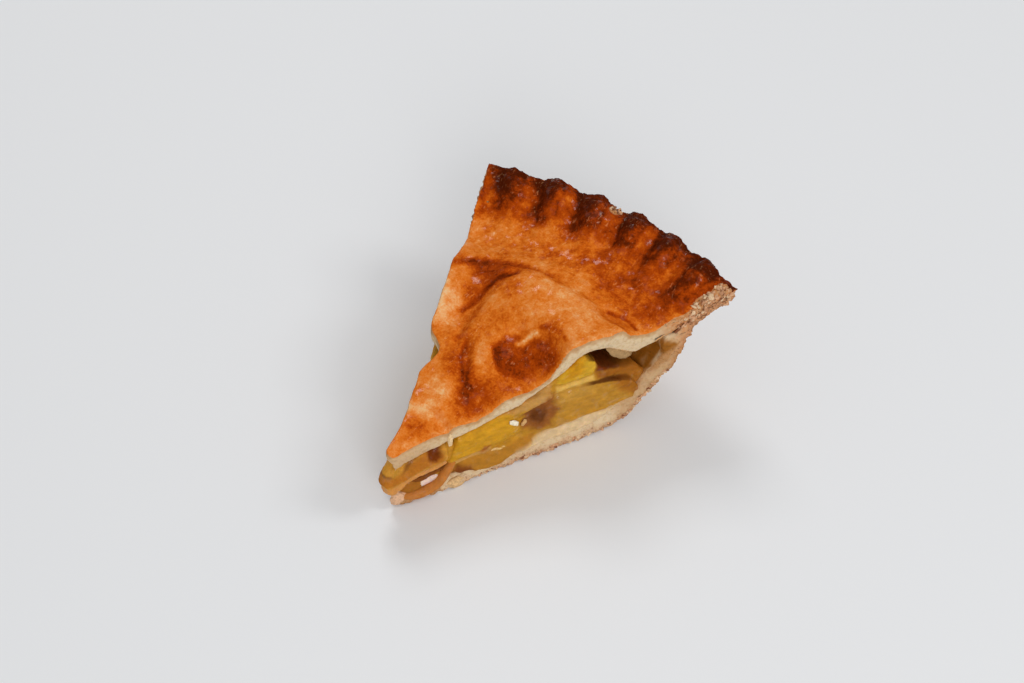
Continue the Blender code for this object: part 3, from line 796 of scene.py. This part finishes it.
base = copy_of(["bottom_crust"], "base")
wrap(base, square=0.46, rounds=8)
base_points, base_normals = points_of(base), normals_of(base)
x, y, radius, along, _ = places(base_points)
outwards = np.stack((x, y), axis=1) / radius[:, None]
height = base_points[:, 2]
right, left = behind_cuts(base_points)
to_cut = np.minimum(right, left)
upright = 1 - ease(0.45, 0.8, np.abs(base_normals[:, 2]))
at_cut = (1 - ease(1.2, 2.2, to_cut)) * np.maximum(upright, 1 - ease(0.2, 1.0, to_cut))
crumb = rough_grain(base_points, 1.9, 5.0)
above_edge = height - np.interp(radius, *FLOOR_LINE)
low_edge = 1 - ease(1.0, 4.2, above_edge + 1.3 * rough_grain(base_points, 3.5, 47.0))
dry = ease(96.0, 104.0, radius)
push = at_cut * ((0.26 + 0.42 * low_edge + 0.40 * dry) * crumb + 0.35 * low_edge)
moved = base_points + base_normals * (push + 0.06 * rough_grain(base_points, 3.0, 11.0))[:, None]
outer_skin = 1 - ease(0.3, 1.6, radius - np.interp(height, *WALL_LINE) + 2.0)
bulge = WALL_BULGE * (1 - outer_skin) * hump(16.0, 20.0, 30.0, 33.0, height) * (1 - ease(3.0, 8.0, right))
moved[:, :2] += bulge[:, None] * outwards
move_points(base, above_floor(moved))

# %% [markdown]
# Syrup has soaked into the inside of the wall, under the fruit and at the tip. Inside the wall, where the
# lid hangs over it, the dark stain is also painted shade. The stains are patches with outlines along the
# right cut, in mm from the tip and in height.

# %% Brown and stain the bottom crust
# Syrup stain inside the wall, which is also painted shade under the lid's overhang.
INNER_STAIN_AND_SHADE = [
    (72.0, 22.0), (79.0, 20.5), (84.5, 22.5), (88.5, 23.5), (92.2, 26.5), (93.0, 28.5), (88.0, 31.5),
    (72.0, 34.0),
]
LOW_STAIN = [
    (72.0, 26.0), (76.0, 13.0), (80.8, 13.0), (82.5, 17.5), (86.0, 19.0), (90.0, 21.5), (93.0, 26.0),
    (90.0, 28.0),
]
TIP_STAIN = [(-4.0, 8.0), (3.0, 6.0), (13.0, 4.6), (15.5, 0.0), (15.0, -1.0), (-4.0, -1.0)]
FRUIT_REACH = 76.0
LONGEST = 130

facing_in = np.maximum(base_normals[:, 2], -(base_normals[:, :2] * outwards).sum(1))
inside = ease(-0.1, 0.5, facing_in) * (1 - at_cut) * (radius < 99.0)
outside = (1 - ease(-0.3, 0.3, base_normals[:, 2])) * (1 - at_cut) * (1 - inside)
bake = 0.13 + 0.36 * outside + 0.08 * ease(80.0, 100.0, radius) * outside
bake += 0.05 * rough_grain(base_points, 6.0, 31.0) + 0.35 * ease(104.0, 112.0, radius)
tops = np.zeros(LONGEST)
at_face = (to_cut < 0.8) & (along > 0.0) & (along < FRUIT_REACH)
np.maximum.at(tops, along[at_face].astype(int), height[at_face])
under_fruit = np.interp(along, np.arange(LONGEST) + 0.5, tops) - height + 0.4 * grain(base_points, 2.0, 53.0)
waver = 0.5 * rough_grain(base_points, 3.0, 57.0)
low_stain = patch_mark(along + waver, height + waver, LOW_STAIN, 1.5)
stain = at_cut * np.maximum.reduce((
    0.72 * patch_mark(along + waver, height + waver, INNER_STAIN_AND_SHADE, 2.0),
    0.50 * low_stain,
    0.45 * patch_mark(along, height, TIP_STAIN, 1.0),
    0.36 * ease(68.0, 76.0, along) * (1 - ease(24.0, 28.0, height)),
    0.20 * (1 - ease(0.0, 1.8, under_fruit)) * (along < FRUIT_REACH),
))
store_marks(
    base, bake=bake, cut=np.maximum(at_cut, inside), dry=dry,
    # dark is the slit, painted as shade, as on the lid.
    dark=line_mark(along, height, SLIT_LINE, 0.4) * (right < 2.0),
    # The inner faces take the dark syrup stain; inside the wall under the lid it is also painted shade.
    stain=np.maximum(stain, inside * (0.80 + 0.24 * rough_grain(base_points, 3.0, 59.0))),
    toast=at_cut * np.maximum.reduce((low_edge, (1 - outer_skin) * (height > 9.0), 0.4 * low_stain)),
)
dress(base, crust_finish("pale_crust", TIN_BROWNING, 0.0), ["bottom_crust"])

# %% [markdown]
# ## Fruit in syrup
# The cut runs through soft apple and brown syrup, so colours flow into one another and everything is wet. The
# filling and the apple slices in it are swollen a little, wrapped as one mass and smoothed, so that no seam
# shows. The mass is then painted by place along the cut: how far from the tip, and how high. Each patch is an
# outline, the softness of its border in mm, and a colour. A few patches are painted light: a shadow under the
# lid's edge, shade in a hole, in a gap and in the cavity under the lid, and a thin bright highlight.

# %% Patches along the right cut
AMBER = (0.56, 0.26, 0.034)
YELLOW = (0.50, 0.235, 0.020)
BRIGHT = (0.57, 0.275, 0.016)
OLIVE = (0.45, 0.19, 0.020)
TAN = (0.58, 0.31, 0.085)
BUFF = (0.52, 0.265, 0.068)
PURPLE = (0.29, 0.095, 0.020)
BROWN = (0.31, 0.10, 0.010)
RIGHT_CUT_PAINT = [
    ([(-8, 22), (-8, 4), (2, 6), (9, 8), (18, 8), (18, 21)], 1.0, AMBER),
    ([(-5, 19), (-2.7, 21), (-0.5, 20), (1.6, 15.6), (1.4, 10.1), (0.4, 6), (-2.2, 6.5), (-5, 12)], 0.8,
      (0.50, 0.27, 0.040)),
    ([(-3.6, 15.4), (0.6, 15.0), (1.2, 8.4), (-3.4, 8.8)], 1.0, (0.68, 0.33, 0.025)),
    ([(1.2, 14.9), (5.1, 17.4), (9.9, 19), (14.6, 19), (15.9, 16.4), (15.6, 13.4), (9.8, 13.8), (1.5, 13.0)],
      1.0, (0.44, 0.15, 0.016)),
    # Painted shade: a dark hole in the amber slice under the lid.
    ([(10.6, 19.4), (12.4, 21), (14.9, 20), (14.8, 15.6), (13.3, 14.2), (11.0, 15.5)], 0.8,
      (0.17, 0.034, 0.003)),
    # Painted shadow: a dark line under the lid's edge along the amber slice.
    ([(2.6, 15.6), (3.0, 17.0), (5.6, 18.8), (10.2, 20.4), (10.4, 19.2), (5.8, 17.6)], 0.4,
      (0.30, 0.11, 0.015)),
    ([(0.5, 12.6), (8.2, 13.0), (17.2, 12.8), (17.6, 9.8), (9.7, 9.6), (2.0, 9.6)], 0.6, (0.60, 0.26, 0.065)),
    # Painted shade: a dark gap line between the tan stripe and the wet hollow.
    ([(0.0, 10.0), (3.0, 9.6), (13.0, 9.8), (17.8, 10.2), (17.8, 8.8), (13.0, 7.8), (0.0, 6.4)], 0.4,
      (0.20, 0.060, 0.010)),
    ([(17.4, 10), (24.3, 10.4), (31, 10.4), (37.5, 10), (45.5, 10.5), (47, 4), (17, 3)], 0.7, OLIVE),
    ([(16.8, 16), (17.5, 22), (22.7, 22.5), (29.1, 23), (35.6, 23.4), (40.4, 19), (41.5, 14.5), (35.8, 12),
      (29.2, 11.6), (22.7, 11.2), (17.4, 10.5)], 0.9, BRIGHT),
    ([(18.2, 10.3), (22.8, 11.1), (31.2, 11.6), (31.2, 10.3), (27.3, 9.4), (22.9, 9.0), (18.4, 8.4)], 0.5,
      TAN),
    # Painted highlight: a thin bright sliver along the bright slice's lower edge.
    ([(31.2, 10.0), (33.2, 9.9), (35.6, 10.1), (35.5, 9.8), (33.2, 9.5), (31.2, 9.6)], 0.12,
      (0.80, 0.56, 0.24)),
    ([(32.5, 28), (38.7, 30), (45.2, 34), (50.8, 36), (50.6, 24.2), (47, 22.8), (43.1, 22.8), (37.9, 22.7),
      (34, 23.2)], 0.8, BUFF),
    ([(44, 5), (46.5, 11), (50.8, 14), (51.4, 27), (64.9, 27), (71, 24.5), (77.6, 17), (79.5, 10.8), (77, 4)],
      1.2, (0.48, 0.225, 0.026)),
    ([(54, 13.8), (60, 12.8), (70, 12.8), (75, 10.8), (68, 8.4), (58, 9.0)], 1.4, (0.53, 0.24, 0.022)),
    ([(51.5, 25.4), (58, 25), (64, 24.8), (64, 21), (52, 20)], 1.6, (0.52, 0.26, 0.040)),
    ([(52.4, 27.2), (58.4, 27.2), (64.4, 27.0), (64.4, 25.2), (58.4, 25.2), (52.4, 25.2)], 0.6,
      (0.66, 0.39, 0.085)),
    ([(52.2, 28), (53.2, 33), (57, 39), (64, 39), (64.9, 33), (64.8, 28.2), (59.4, 27.6)], 0.5,
      (0.62, 0.34, 0.024)),
    ([(54, 29.5), (56.5, 35), (61, 35.5), (60.5, 30), (57, 29)], 1.5, (0.56, 0.25, 0.009)),
    # Painted shade: the dark cavity under the lid, and in the next patch its brown lower edge, partly painted
    # shade.
    ([(65.0, 40), (73, 40), (79, 26), (76, 24.6), (71, 25.6), (65.4, 28.0)], 0.7, (0.15, 0.026, 0.002)),
    ([(65.0, 28), (71, 26), (77.5, 24.8), (81, 20), (80, 15), (76.5, 21), (70.5, 23.4), (65.2, 25)], 0.9,
      BROWN),
    ([(69.5, 23.2), (73, 23.6), (77.3, 21.6), (79.4, 14.6), (75.9, 13.4), (71.2, 18.5)], 1.3,
      (0.36, 0.125, 0.012)),
    ([(27.0, 11.2), (28.4, 13.6), (30.6, 12.8), (30.2, 10.4), (28.2, 10.0)], 0.8, (0.38, 0.12, 0.012)),
    ([(18.2, 6.2), (20, 8.0), (24.5, 7.6), (26.0, 5.6), (21, 5.0)], 0.8, (0.20, 0.055, 0.010)),
    ([(36, 3), (39.4, 6.5), (47.5, 8.4), (55.5, 10.2), (63.6, 10.5), (71, 10.4), (76, 11.8), (78, 10.5),
      (75, 4), (40, 3)], 1.3, (0.72, 0.51, 0.28)),
]
SYRUP_POOLS = [
    ([(40.5, 17.0), (42.5, 21.4), (46.5, 22.0), (48.8, 25.6), (51.6, 25.0), (52.6, 16), (50.6, 12.4),
      (46, 11.6), (41.6, 13.6)], 1.8, PURPLE),
    ([(43.2, 17.2), (44.8, 20.2), (48.2, 20.4), (49.2, 15.4), (46.4, 14.0)], 1.5, (0.13, 0.036, 0.007)),
]
print("patches on the right cut:", len(RIGHT_CUT_PAINT) + len(SYRUP_POOLS))

# %% [markdown]
# Only the right cut has patches with places of their own. Towards the left cut the same fruit is streaked
# with syrup and pale flesh by noise that is drawn out along the cut, as the slices lie that way.

# %% Paint the fruit
def right_cut_paint(points, along, ground):
    """Base colour of each point from the patches along the right cut."""
    colours = np.array(ground)
    waver = 0.4 * rough_grain(points, 4.0, 77.0)
    ragged = 1.5 * rough_grain(points, 2.4, 79.0)
    for patches, aside, up in ((RIGHT_CUT_PAINT, waver, waver), (SYRUP_POOLS, ragged, -0.7 * ragged)):
        for outline, soft, colour in patches:
            share = patch_mark(along + aside, points[:, 2] + up, outline, soft)
            colours = blend(share[:, None], colours, colour)
    return colours


def fruit_paint(points, ground):
    """Paint of the right cut near it, and the ground colour with syrup stains and pale fruit elsewhere."""
    _, _, _, along, across = places(points)
    right_share = (1 - ease(0.40, 0.55, across))[:, None]
    runs = np.stack((along * 0.35, across * 30.0, points[:, 2]), axis=1)
    stain = 0.7 * ease(0.2, 0.8, rough_grain(runs, 4.0, 61.0))[:, None]
    pale = 0.6 * ease(0.2, 0.8, rough_grain(runs, 3.4, 91.0))[:, None]
    elsewhere = blend(stain, blend(pale, ground, BRIGHT), BROWN)
    streaks = 1 + 0.13 * rough_grain(runs, 1.1, 29.0)[:, None]
    return blend(right_share, elsewhere, right_cut_paint(points, along, ground)) * streaks


# %% Shape the fruit
FRUIT_NODES = ["filling", *(f"apple_slice_{number:02d}" for number in range(1, 11))]
fruit = copy_of(FRUIT_NODES, "fruit")
wrap(fruit, square=0.44, rounds=20, swell=0.30)
points, normals = points_of(fruit), normals_of(fruit)
_, _, _, along, across = places(points)
height = points[:, 2]
right, left = behind_cuts(points)
near_right = 1 - ease(2.0, 5.0, right)
flow = rough_grain(np.stack((along * 0.4, across * 30.0, height), axis=1), 2.2, 13.0)
lumps = rough_grain(points, 1.6, 19.0) * ease(66.0, 70.0, along)
ledge = line_mark(along, height, [(52.0, 26.0), (58.4, 26.2), (65.0, 26.0)], 1.0)
seam = line_mark(along, height, [(17.5, 8.0), (23.0, 8.6), (31.2, 9.6), (41.0, 12.0)], 0.6)
pit = oval_mark(along, height, (46.5, 17.5), (4.5, 4.5), 0.0, 0.5)
sliced = line_mark(along, height, [(65.0, 34.0), (65.0, 26.6), (51.0, 27.6)], 0.7)
relief = 0.20 * flow + 0.35 * lumps + near_right * (0.45 * ledge - 0.35 * seam - 0.9 * pit - 0.4 * sliced)
print("the fruit's relief is", relief.min().round(2), "to", relief.max().round(2), "mm")

# %% [markdown]
# The solids stop a little inside the cut and above the crust. Soft fruit sags out to both, so the mass
# is brought out to the right cut, and its lower edge hangs over the crust. Inside the hollow its top is
# painted shade: dark at the back and paler, as if lit, towards the rim.

# %% Bring the fruit out to the cut
# Painted shade inside the hollow under the lid, dark at the back and lit towards the rim.
HOLLOW_SHADE = (0.080, 0.018, 0.003)
HOLLOW_LIT = (0.50, 0.18, 0.018)
SUNK_BY = ([17.0, 30.0, 41.0, 46.0, 62.0, 72.0, 80.0], [0.0, 0.4, 0.5, 1.1, 1.5, 2.4, 3.6])
HANGS_BY = ([19.0, 22.0, 34.0, 38.0, 74.0, 80.0], [0.0, 2.8, 2.8, 1.4, 1.4, 0.0])
CRUST_TOP = ([36.0, 56.0, 64.0, 72.0, 80.0], [5.6, 5.8, 7.2, 8.8, 12.5])

short_by = (3.6 * ease(66.5, 77.0, along) * ease(6.0, 14.0, height))[:, None]
hang = (np.interp(along, *HANGS_BY) * (1 - ease(0.2, 3.4, height - np.interp(along, *CRUST_TOP))))[:, None]
run, out = (np.array(side) for side in cut_frame("right"))
brought_out = np.interp(along, *SUNK_BY)[:, None] * out + short_by * run
brought_out += hang * (0.22 * out - np.array((0.0, 0.0, 1.0)))
brought_out *= (1 - ease(3.0, 9.0, right))[:, None]
move_points(fruit, points + normals * relief[:, None] + brought_out)
# The fruit's top inside the hollow is painted shade, dark at the back and paler towards the rim.
hollow = ease(0.25, 0.7, normals[:, 2]) * ease(60.0, 64.5, along) * (1 - ease(0.40, 0.55, across))
deep = blend(ease(69.0, 81.0, along)[:, None], HOLLOW_SHADE, HOLLOW_LIT)
store_paint(fruit, blend(0.9 * hollow[:, None], fruit_paint(points, YELLOW), deep))
print("the fruit is moved by up to", np.linalg.norm(brought_out, axis=1).max().round(1), "mm")

# %% [markdown]
# ## Wet fruit finish
# Cooked apple lets light a little way in, which subsurface scattering gives, and a coat of syrup
# makes it shine in patches. Two sizes of noise, soft blotches and finer fibres, shade the paint
# and give the low relief.

# %% Fruit material
def fruit_finish(name, glow):
    """The paint that is kept on the mesh, under patches of wet shine."""
    finish = Finish(name)
    blotch = finish.noise(2.4, 3.0, 0.6)
    fibre = finish.noise(0.8, 3.0, 0.6, distortion=0.8)
    shade = (blotch - 0.5) * 0.55 + (fibre - 0.5) * 0.30 + 1.0
    finish.set(
        Base_Color=finish.shaded(finish.mark("paint", "Color"), shade),
        Roughness=0.42 + (blotch - 0.5) * 0.5,
        Specular_IOR_Level=0.03,
        Coat_Weight=finish.noise(2.6, 3.0).step(0.55, 0.65) * 0.6,
        Coat_Roughness=0.10,
        Subsurface_Weight=glow,
        Subsurface_Radius=(1.0, 0.55, 0.10),
        Subsurface_Scale=1.6 * MM,
        Normal=finish.bump(blotch * 0.6 + fibre * 0.3, 0.35, 0.5),
    )
    return finish.material


dress(fruit, fruit_finish("syrup", 0.18), FRUIT_NODES)

# %% [markdown]
# ## The apple slice at the tip
# One amber slice wraps the tip and hangs a little out of it. It is swollen until it touches the
# fruit behind it.

# %% Shape and paint the amber slice
apple_finish = fruit_finish("apple", 0.25)
tip = copy_of(["apple_slice_tip"], "apple_tip")
wrap(tip, square=0.34, rounds=10, swell=0.45)
points, normals = points_of(tip), normals_of(tip)
_, _, _, along, _ = places(points)
height = points[:, 2]
stripe = line_mark(along, height, [(1.5, 10.4), (9.0, 10.3), (18.0, 10.6)], 1.2)
under_stripe = line_mark(along, height, [(0.5, 12.6), (9.0, 12.4), (18.0, 12.0)], 0.6)
hole = oval_mark(along, height, (12.9, 17.4), (2.0, 2.8), 0.0, 0.5)
relief = 0.22 * rough_grain(points, 2.8, 9.0) + 0.45 * stripe - 0.35 * under_stripe - 0.9 * hole
move_points(tip, points + normals * relief[:, None])
store_paint(tip, fruit_paint(points, AMBER))
dress(tip, apple_finish, ["apple_slice_tip"])

# %% [markdown]
# ## Peel strip, highlight spot and lumps of fruit
# Under the amber slice a strip of brown peel curls round a wet hollow. The strip is a path with a round
# bevel, turned into a mesh. The hollow's shine is a painted highlight: a flattened ball in a pale colour.
# More balls, larger and duller, are soft fruit that fills the slice behind the hollow, on the ledge and at
# the seam beside the amber slice.

# %% Peel strip
PEEL_ROUTE = [
    (19.6, 10.6, -0.8, 0.5), (17.6, 9.2, 0.1, 0.9), (15.8, 7.4, 0.5, 1.0), (14.2, 4.9, 0.7, 1.05),
    (11.6, 3.2, 0.8, 1.05), (8.0, 2.5, 0.8, 1.1), (4.8, 2.7, 0.6, 1.0), (2.0, 3.6, 0.1, 0.7),
]
PEEL_BROWN = (0.50, 0.18, 0.036)
PEEL_HALF_WIDTH = 1.65

select_only()
bpy.ops.curve.primitive_nurbs_path_add()
path = bpy.context.active_object.data
spline = path.splines[0]
spline.points.add(len(PEEL_ROUTE) - len(spline.points))
for knot, (along, height, out, thick) in zip(spline.points, PEEL_ROUTE):
    knot.co = (*(on_cut("right", along, height, out) * MM), 1.0)
    knot.radius = thick
spline.use_endpoint_u = True
path.bevel_depth = PEEL_HALF_WIDTH * MM
path.bevel_resolution = 4
path.resolution_u = 8
path.use_fill_caps = True
bpy.ops.object.convert(target="MESH")
peel = named("peel_strip")
peel.data.shade_smooth()
store_paint(peel, PEEL_BROWN)
dress(peel, apple_finish)


# %% Soft lumps of fruit
def ball_of(name, side, place, half, turn, colour, material, seed, crumple, rounds=4):
    """A squashed ball on a cut: half sizes along it, up and out, turned by degrees in the face of the cut."""
    select_only()
    bpy.ops.mesh.primitive_ico_sphere_add(subdivisions=rounds, radius=MM)
    ball = named(name)
    run, away = cut_frame(side)
    c, s = math.cos(math.radians(turn)), math.sin(math.radians(turn))
    sides = np.array((run * c + Vector((0, 0, s)), Vector((0, 0, c)) - run * s, away))
    unit = points_of(ball)
    unit *= 1 + crumple * rough_grain(unit, 0.7, seed)[:, None]
    move_points(ball, above_floor((unit * np.array(half)) @ sides + np.array(on_cut(side, *place))))
    if rounds < 2:
        ball.data.shade_flat()
    store_paint(ball, colour)
    dress(ball, material)


for name, side, place, half, turn, colour, seed, crumple in (
    ("tip_fruit", "right", (8.6, 6.6, -2.0), (9.6, 3.4, 2.2), 4.0, (0.30, 0.09, 0.014), 3.0, 0.05),
    # A pale ball that is a painted highlight on the wet hollow.
    ("wet_spot", "right", (9.2, 6.4, 0.0), (4.9, 1.6, 0.9), 4.0, (0.76, 0.56, 0.47), 8.0, 0.12),
    ("tip_core", "middle", (9.4, 6.2, 0.0), (8.2, 3.9, 4.4), 0.0, (0.36, 0.13, 0.016), 6.0, 0.05),
    ("ledge_fruit", "right", (69.5, 21.2, -0.9), (10.5, 2.9, 2.2), -15.0, (0.36, 0.14, 0.015), 5.0, 0.06),
    ("seam_fruit", "right", (17.6, 14.6, -1.3), (2.4, 5.0, 1.5), 0.0, (0.50, 0.22, 0.018), 2.0, 0.08),
):
    ball_of(name, side, place, half, turn, colour, apple_finish, seed, crumple)

# %% [markdown]
# ## Crumbs and flakes
# A knife tears shortcrust into crumbs. They cling to the lower edge of both cuts, the dry end of the rim, the
# torn stretch of its edge, the lid's bare corner and the fruit at the left cut. Each is a small ball squashed
# and crumpled by seeded numbers. All of them are joined into one piece at their true size.

# %% Where the crumbs lie
CRUMB_COLOURS = [(0.74, 0.52, 0.32), (0.64, 0.36, 0.20), (0.50, 0.25, 0.13), (0.26, 0.10, 0.045)]
LOW_SHARES = (0.25, 0.35, 0.25, 0.15)
RIM_SHARES = (0.30, 0.40, 0.20, 0.10)
ROUND = (1.0, 1.0, 0.75)
FLAT = (0.65, 1.5, 0.7)
RIM_LOW = ([92.0, 99.0, 107.0, 112.0], [33.5, 35.6, 37.4, 38.6])
RIM_HIGH = ([92.0, 96.0, 101.0, 106.0, 112.0], [36.0, 39.0, 41.4, 42.6, 42.4])
random = np.random.default_rng(7)


def edge_height(side, along):
    """Height of the bottom crust's lower edge at a cut."""
    return np.interp((on_cut(side, along, 0.0, 0.0).xy - Vector(AXIS)).length, *FLOOR_LINE)


def crumb_rows():
    """Places of the crumbs: point in mm, size in mm, number of the colour, and shape."""
    for side, count in (("right", 260), ("left", 120)):
        for along in random.uniform(20.0, 90.0, count):
            size = random.uniform(0.30, 0.75)
            up = edge_height(side, along) + size * 0.7 + random.uniform(0.0, 1.5)
            place = on_cut(side, along, up, random.uniform(0.2, 0.7))
            yield place, size, random.choice(4, p=LOW_SHARES), ROUND
    for along in random.uniform(92.0, 111.0, 90):
        up = random.uniform(np.interp(along, *RIM_LOW), np.interp(along, *RIM_HIGH) - 0.6)
        place = on_cut("right", along, up, random.uniform(-0.2, 0.3))
        yield place, random.uniform(0.35, 0.80), random.choice(4, p=RIM_SHARES), FLAT
    for across in random.uniform(0.49, 0.54, 26):
        angle = (math.pi - WEDGE) / 2 + WEDGE * across
        spot = AXIS + TIP + random.uniform(104.8, 106.6) * np.array((math.cos(angle), math.sin(angle)))
        yield Vector((*spot, random.uniform(41.0, 42.5))), random.uniform(0.3, 0.6), random.choice(4), ROUND
    corner = points_of(lid)[(marks["bare"] > 0.6) & (marks["top"] > 0.9)]
    for spot in corner[random.integers(len(corner), size=34)]:
        yield Vector(spot), random.uniform(0.35, 0.80), random.choice(4, p=RIM_SHARES), ROUND
    for along in random.uniform(28.0, 42.0, 46):
        place = on_cut("left", along, random.uniform(14.0, 25.0), random.uniform(-2.4, -0.6))
        yield place, random.uniform(0.35, 0.9), random.choice(4, p=LOW_SHARES), ROUND


rows = list(crumb_rows())
print("crumbs:", len(rows))

# %% Make the crumbs
select_only()
bpy.ops.mesh.primitive_ico_sphere_add(subdivisions=2, radius=MM)
first = bpy.context.active_object
unit = points_of(first)
crumbs = []
for place, size, tone, shape in rows:
    crumb = first.copy()
    crumb.data = first.data.copy()
    scene.collection.objects.link(crumb)
    squash = size * random.uniform(0.5, 1.5, 3) * shape
    lump = unit * (1 + 0.40 * random.uniform(-1, 1, (len(unit), 1))) * squash
    move_points(crumb, above_floor(lump + np.array(place)))
    store_paint(crumb, CRUMB_COLOURS[tone])
    crumbs.append(crumb)
bpy.data.objects.remove(first)
crumbs = joined(crumbs, "crumbs")
crumb_finish = Finish("crumbs")
speckle = crumb_finish.noise(0.7, 3.0, 0.6)
crumb_finish.set(
    Base_Color=crumb_finish.shaded(crumb_finish.mark("paint", "Color"), (speckle - 0.5) * 1.1 + 1.0),
    Roughness=0.8,
    Specular_IOR_Level=0.10,
)
dress(crumbs, crumb_finish.material)

# %% [markdown]
# A few flakes and lumps are large enough to be told apart: a white flake and a tan one on the fruit, a white
# crumb and two knobs of dough by the tip, the pale lip beside the lid's crack, and the bulge of dough that
# hangs from the lid into the hollow.

# %% Flakes and lumps on the right cut
for name, place, half, turn, colour, rounds in (
    ("white_flake", (38.2, 18.8, 0.8), (2.3, 1.3, 0.5), -48.0, (0.84, 0.76, 0.58), 1),
    ("tan_flake", (41.6, 17.2, 0.5), (1.7, 0.9, 0.5), 60.0, (0.60, 0.35, 0.14), 1),
    ("white_crumb", (14.2, 0.9, 0.8), (1.6, 0.8, 0.7), 10.0, (0.86, 0.80, 0.70), 2),
    ("crumb_lump", (19.4, 2.0, 1.0), (3.2, 2.1, 1.3), -8.0, (0.66, 0.42, 0.20), 4),
    ("tip_nub", (0.8, 3.4, 0.4), (2.5, 2.9, 1.1), 0.0, (0.70, 0.42, 0.25), 4),
    ("crack_lip", (17.7, 21.4, 0.4), (0.8, 3.0, 0.6), 0.0, (0.78, 0.56, 0.31), 3),
    ("dough_flap", (74.2, 31.0, -2.4), (6.0, 2.6, 1.5), -46.0, (0.44, 0.27, 0.12), 4),
):
    material = crumb_finish.material
    ball_of(name, "right", place, half, turn, colour, material, len(name), 0.22, rounds)

# %% [markdown]
# ## Floor, light and camera
# The floor is plain, pale and matt. Two soft lamps stand high at the back, a third and broader one at the
# front lights the right cut, and a soft sky fills the shadows.

# %% Floor
FLOOR_GAP = 0.05

select_only()
bpy.ops.mesh.primitive_plane_add(size=6.0, location=(0.0, 0.0, -FLOOR_GAP * MM))
floor = named("floor")
floor_finish = Finish("pale_floor")
floor_finish.set(Base_Color=(0.82, 0.83, 0.845), Roughness=0.6)
floor.data.materials.append(floor_finish.material)
floor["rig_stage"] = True
print("the floor is", tuple(floor.dimensions.xy), "m")


# %% Lamps
AIM = Vector((0.0, 0.0, 0.02))
SKY_LIGHT = 0.39


def softbox(name, spot, size, watts):
    """A square lamp that looks at the slice."""
    lamp = bpy.data.lights.new(name, "AREA")
    lamp.size = size
    lamp.energy = watts
    made = bpy.data.objects.new(name, lamp)
    made.location = spot
    made.rotation_euler = (AIM - Vector(spot)).to_track_quat("-Z", "Y").to_euler()
    scene.collection.objects.link(made)
    print(name, "has", watts, "W and is", round(Vector(spot).length, 2), "m away")


softbox("lamp_back_left", (-0.75, 0.55, 1.05), 0.50, 4.7)
softbox("lamp_back_right", (0.85, 0.65, 1.00), 0.45, 4.0)
softbox("lamp_front", (0.85, -0.75, 0.70), 0.70, 7.4)
sky = bpy.data.worlds.new("soft_sky")
sky.use_nodes = True
background = sky.node_tree.nodes["Background"].inputs
background["Color"].default_value = (1.0, 1.0, 1.0, 1.0)
background["Strength"].default_value = SKY_LIGHT
scene.world = sky
scene.view_settings.view_transform = "Standard"

# %% [markdown]
# The camera looks down at the slice past its right cut, through a 70 mm lens. Its three directions are worked
# out from its heading, its pitch below level and its roll, and become the columns of its matrix.

# %% Camera
HEADING, PITCH, ROLL = (math.radians(angle) for angle in (127.74, 47.4, 1.7))
EYE = Vector((239.57 + AXIS[0], -253.51 + AXIS[1], 465.45)) * MM
LENS = 70.0
FULL_FRAME = 36.0
ahead = Vector((math.cos(HEADING) * math.cos(PITCH), math.sin(HEADING) * math.cos(PITCH), -math.sin(PITCH)))
level_right = Vector((math.sin(HEADING), -math.cos(HEADING), 0.0))
level_up = level_right.cross(ahead)
right_hand = math.cos(ROLL) * level_right + math.sin(ROLL) * level_up
head_up = math.cos(ROLL) * level_up - math.sin(ROLL) * level_right
camera_data = bpy.data.cameras.new("camera")
camera_data.lens = LENS
camera_data.sensor_width = FULL_FRAME
camera_data.clip_start = 0.01
camera = bpy.data.objects.new("camera", camera_data)
camera.matrix_world = Matrix.Translation(EYE) @ Matrix((right_hand, head_up, -ahead)).transposed().to_4x4()
scene.collection.objects.link(camera)
scene.camera = camera
print("the camera is", round(EYE.length, 3), "m from the middle of the slice")

# %% Finish
visual_box = [list(corner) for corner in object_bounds()]
print("visual box in mm:", in_mm(visual_box))
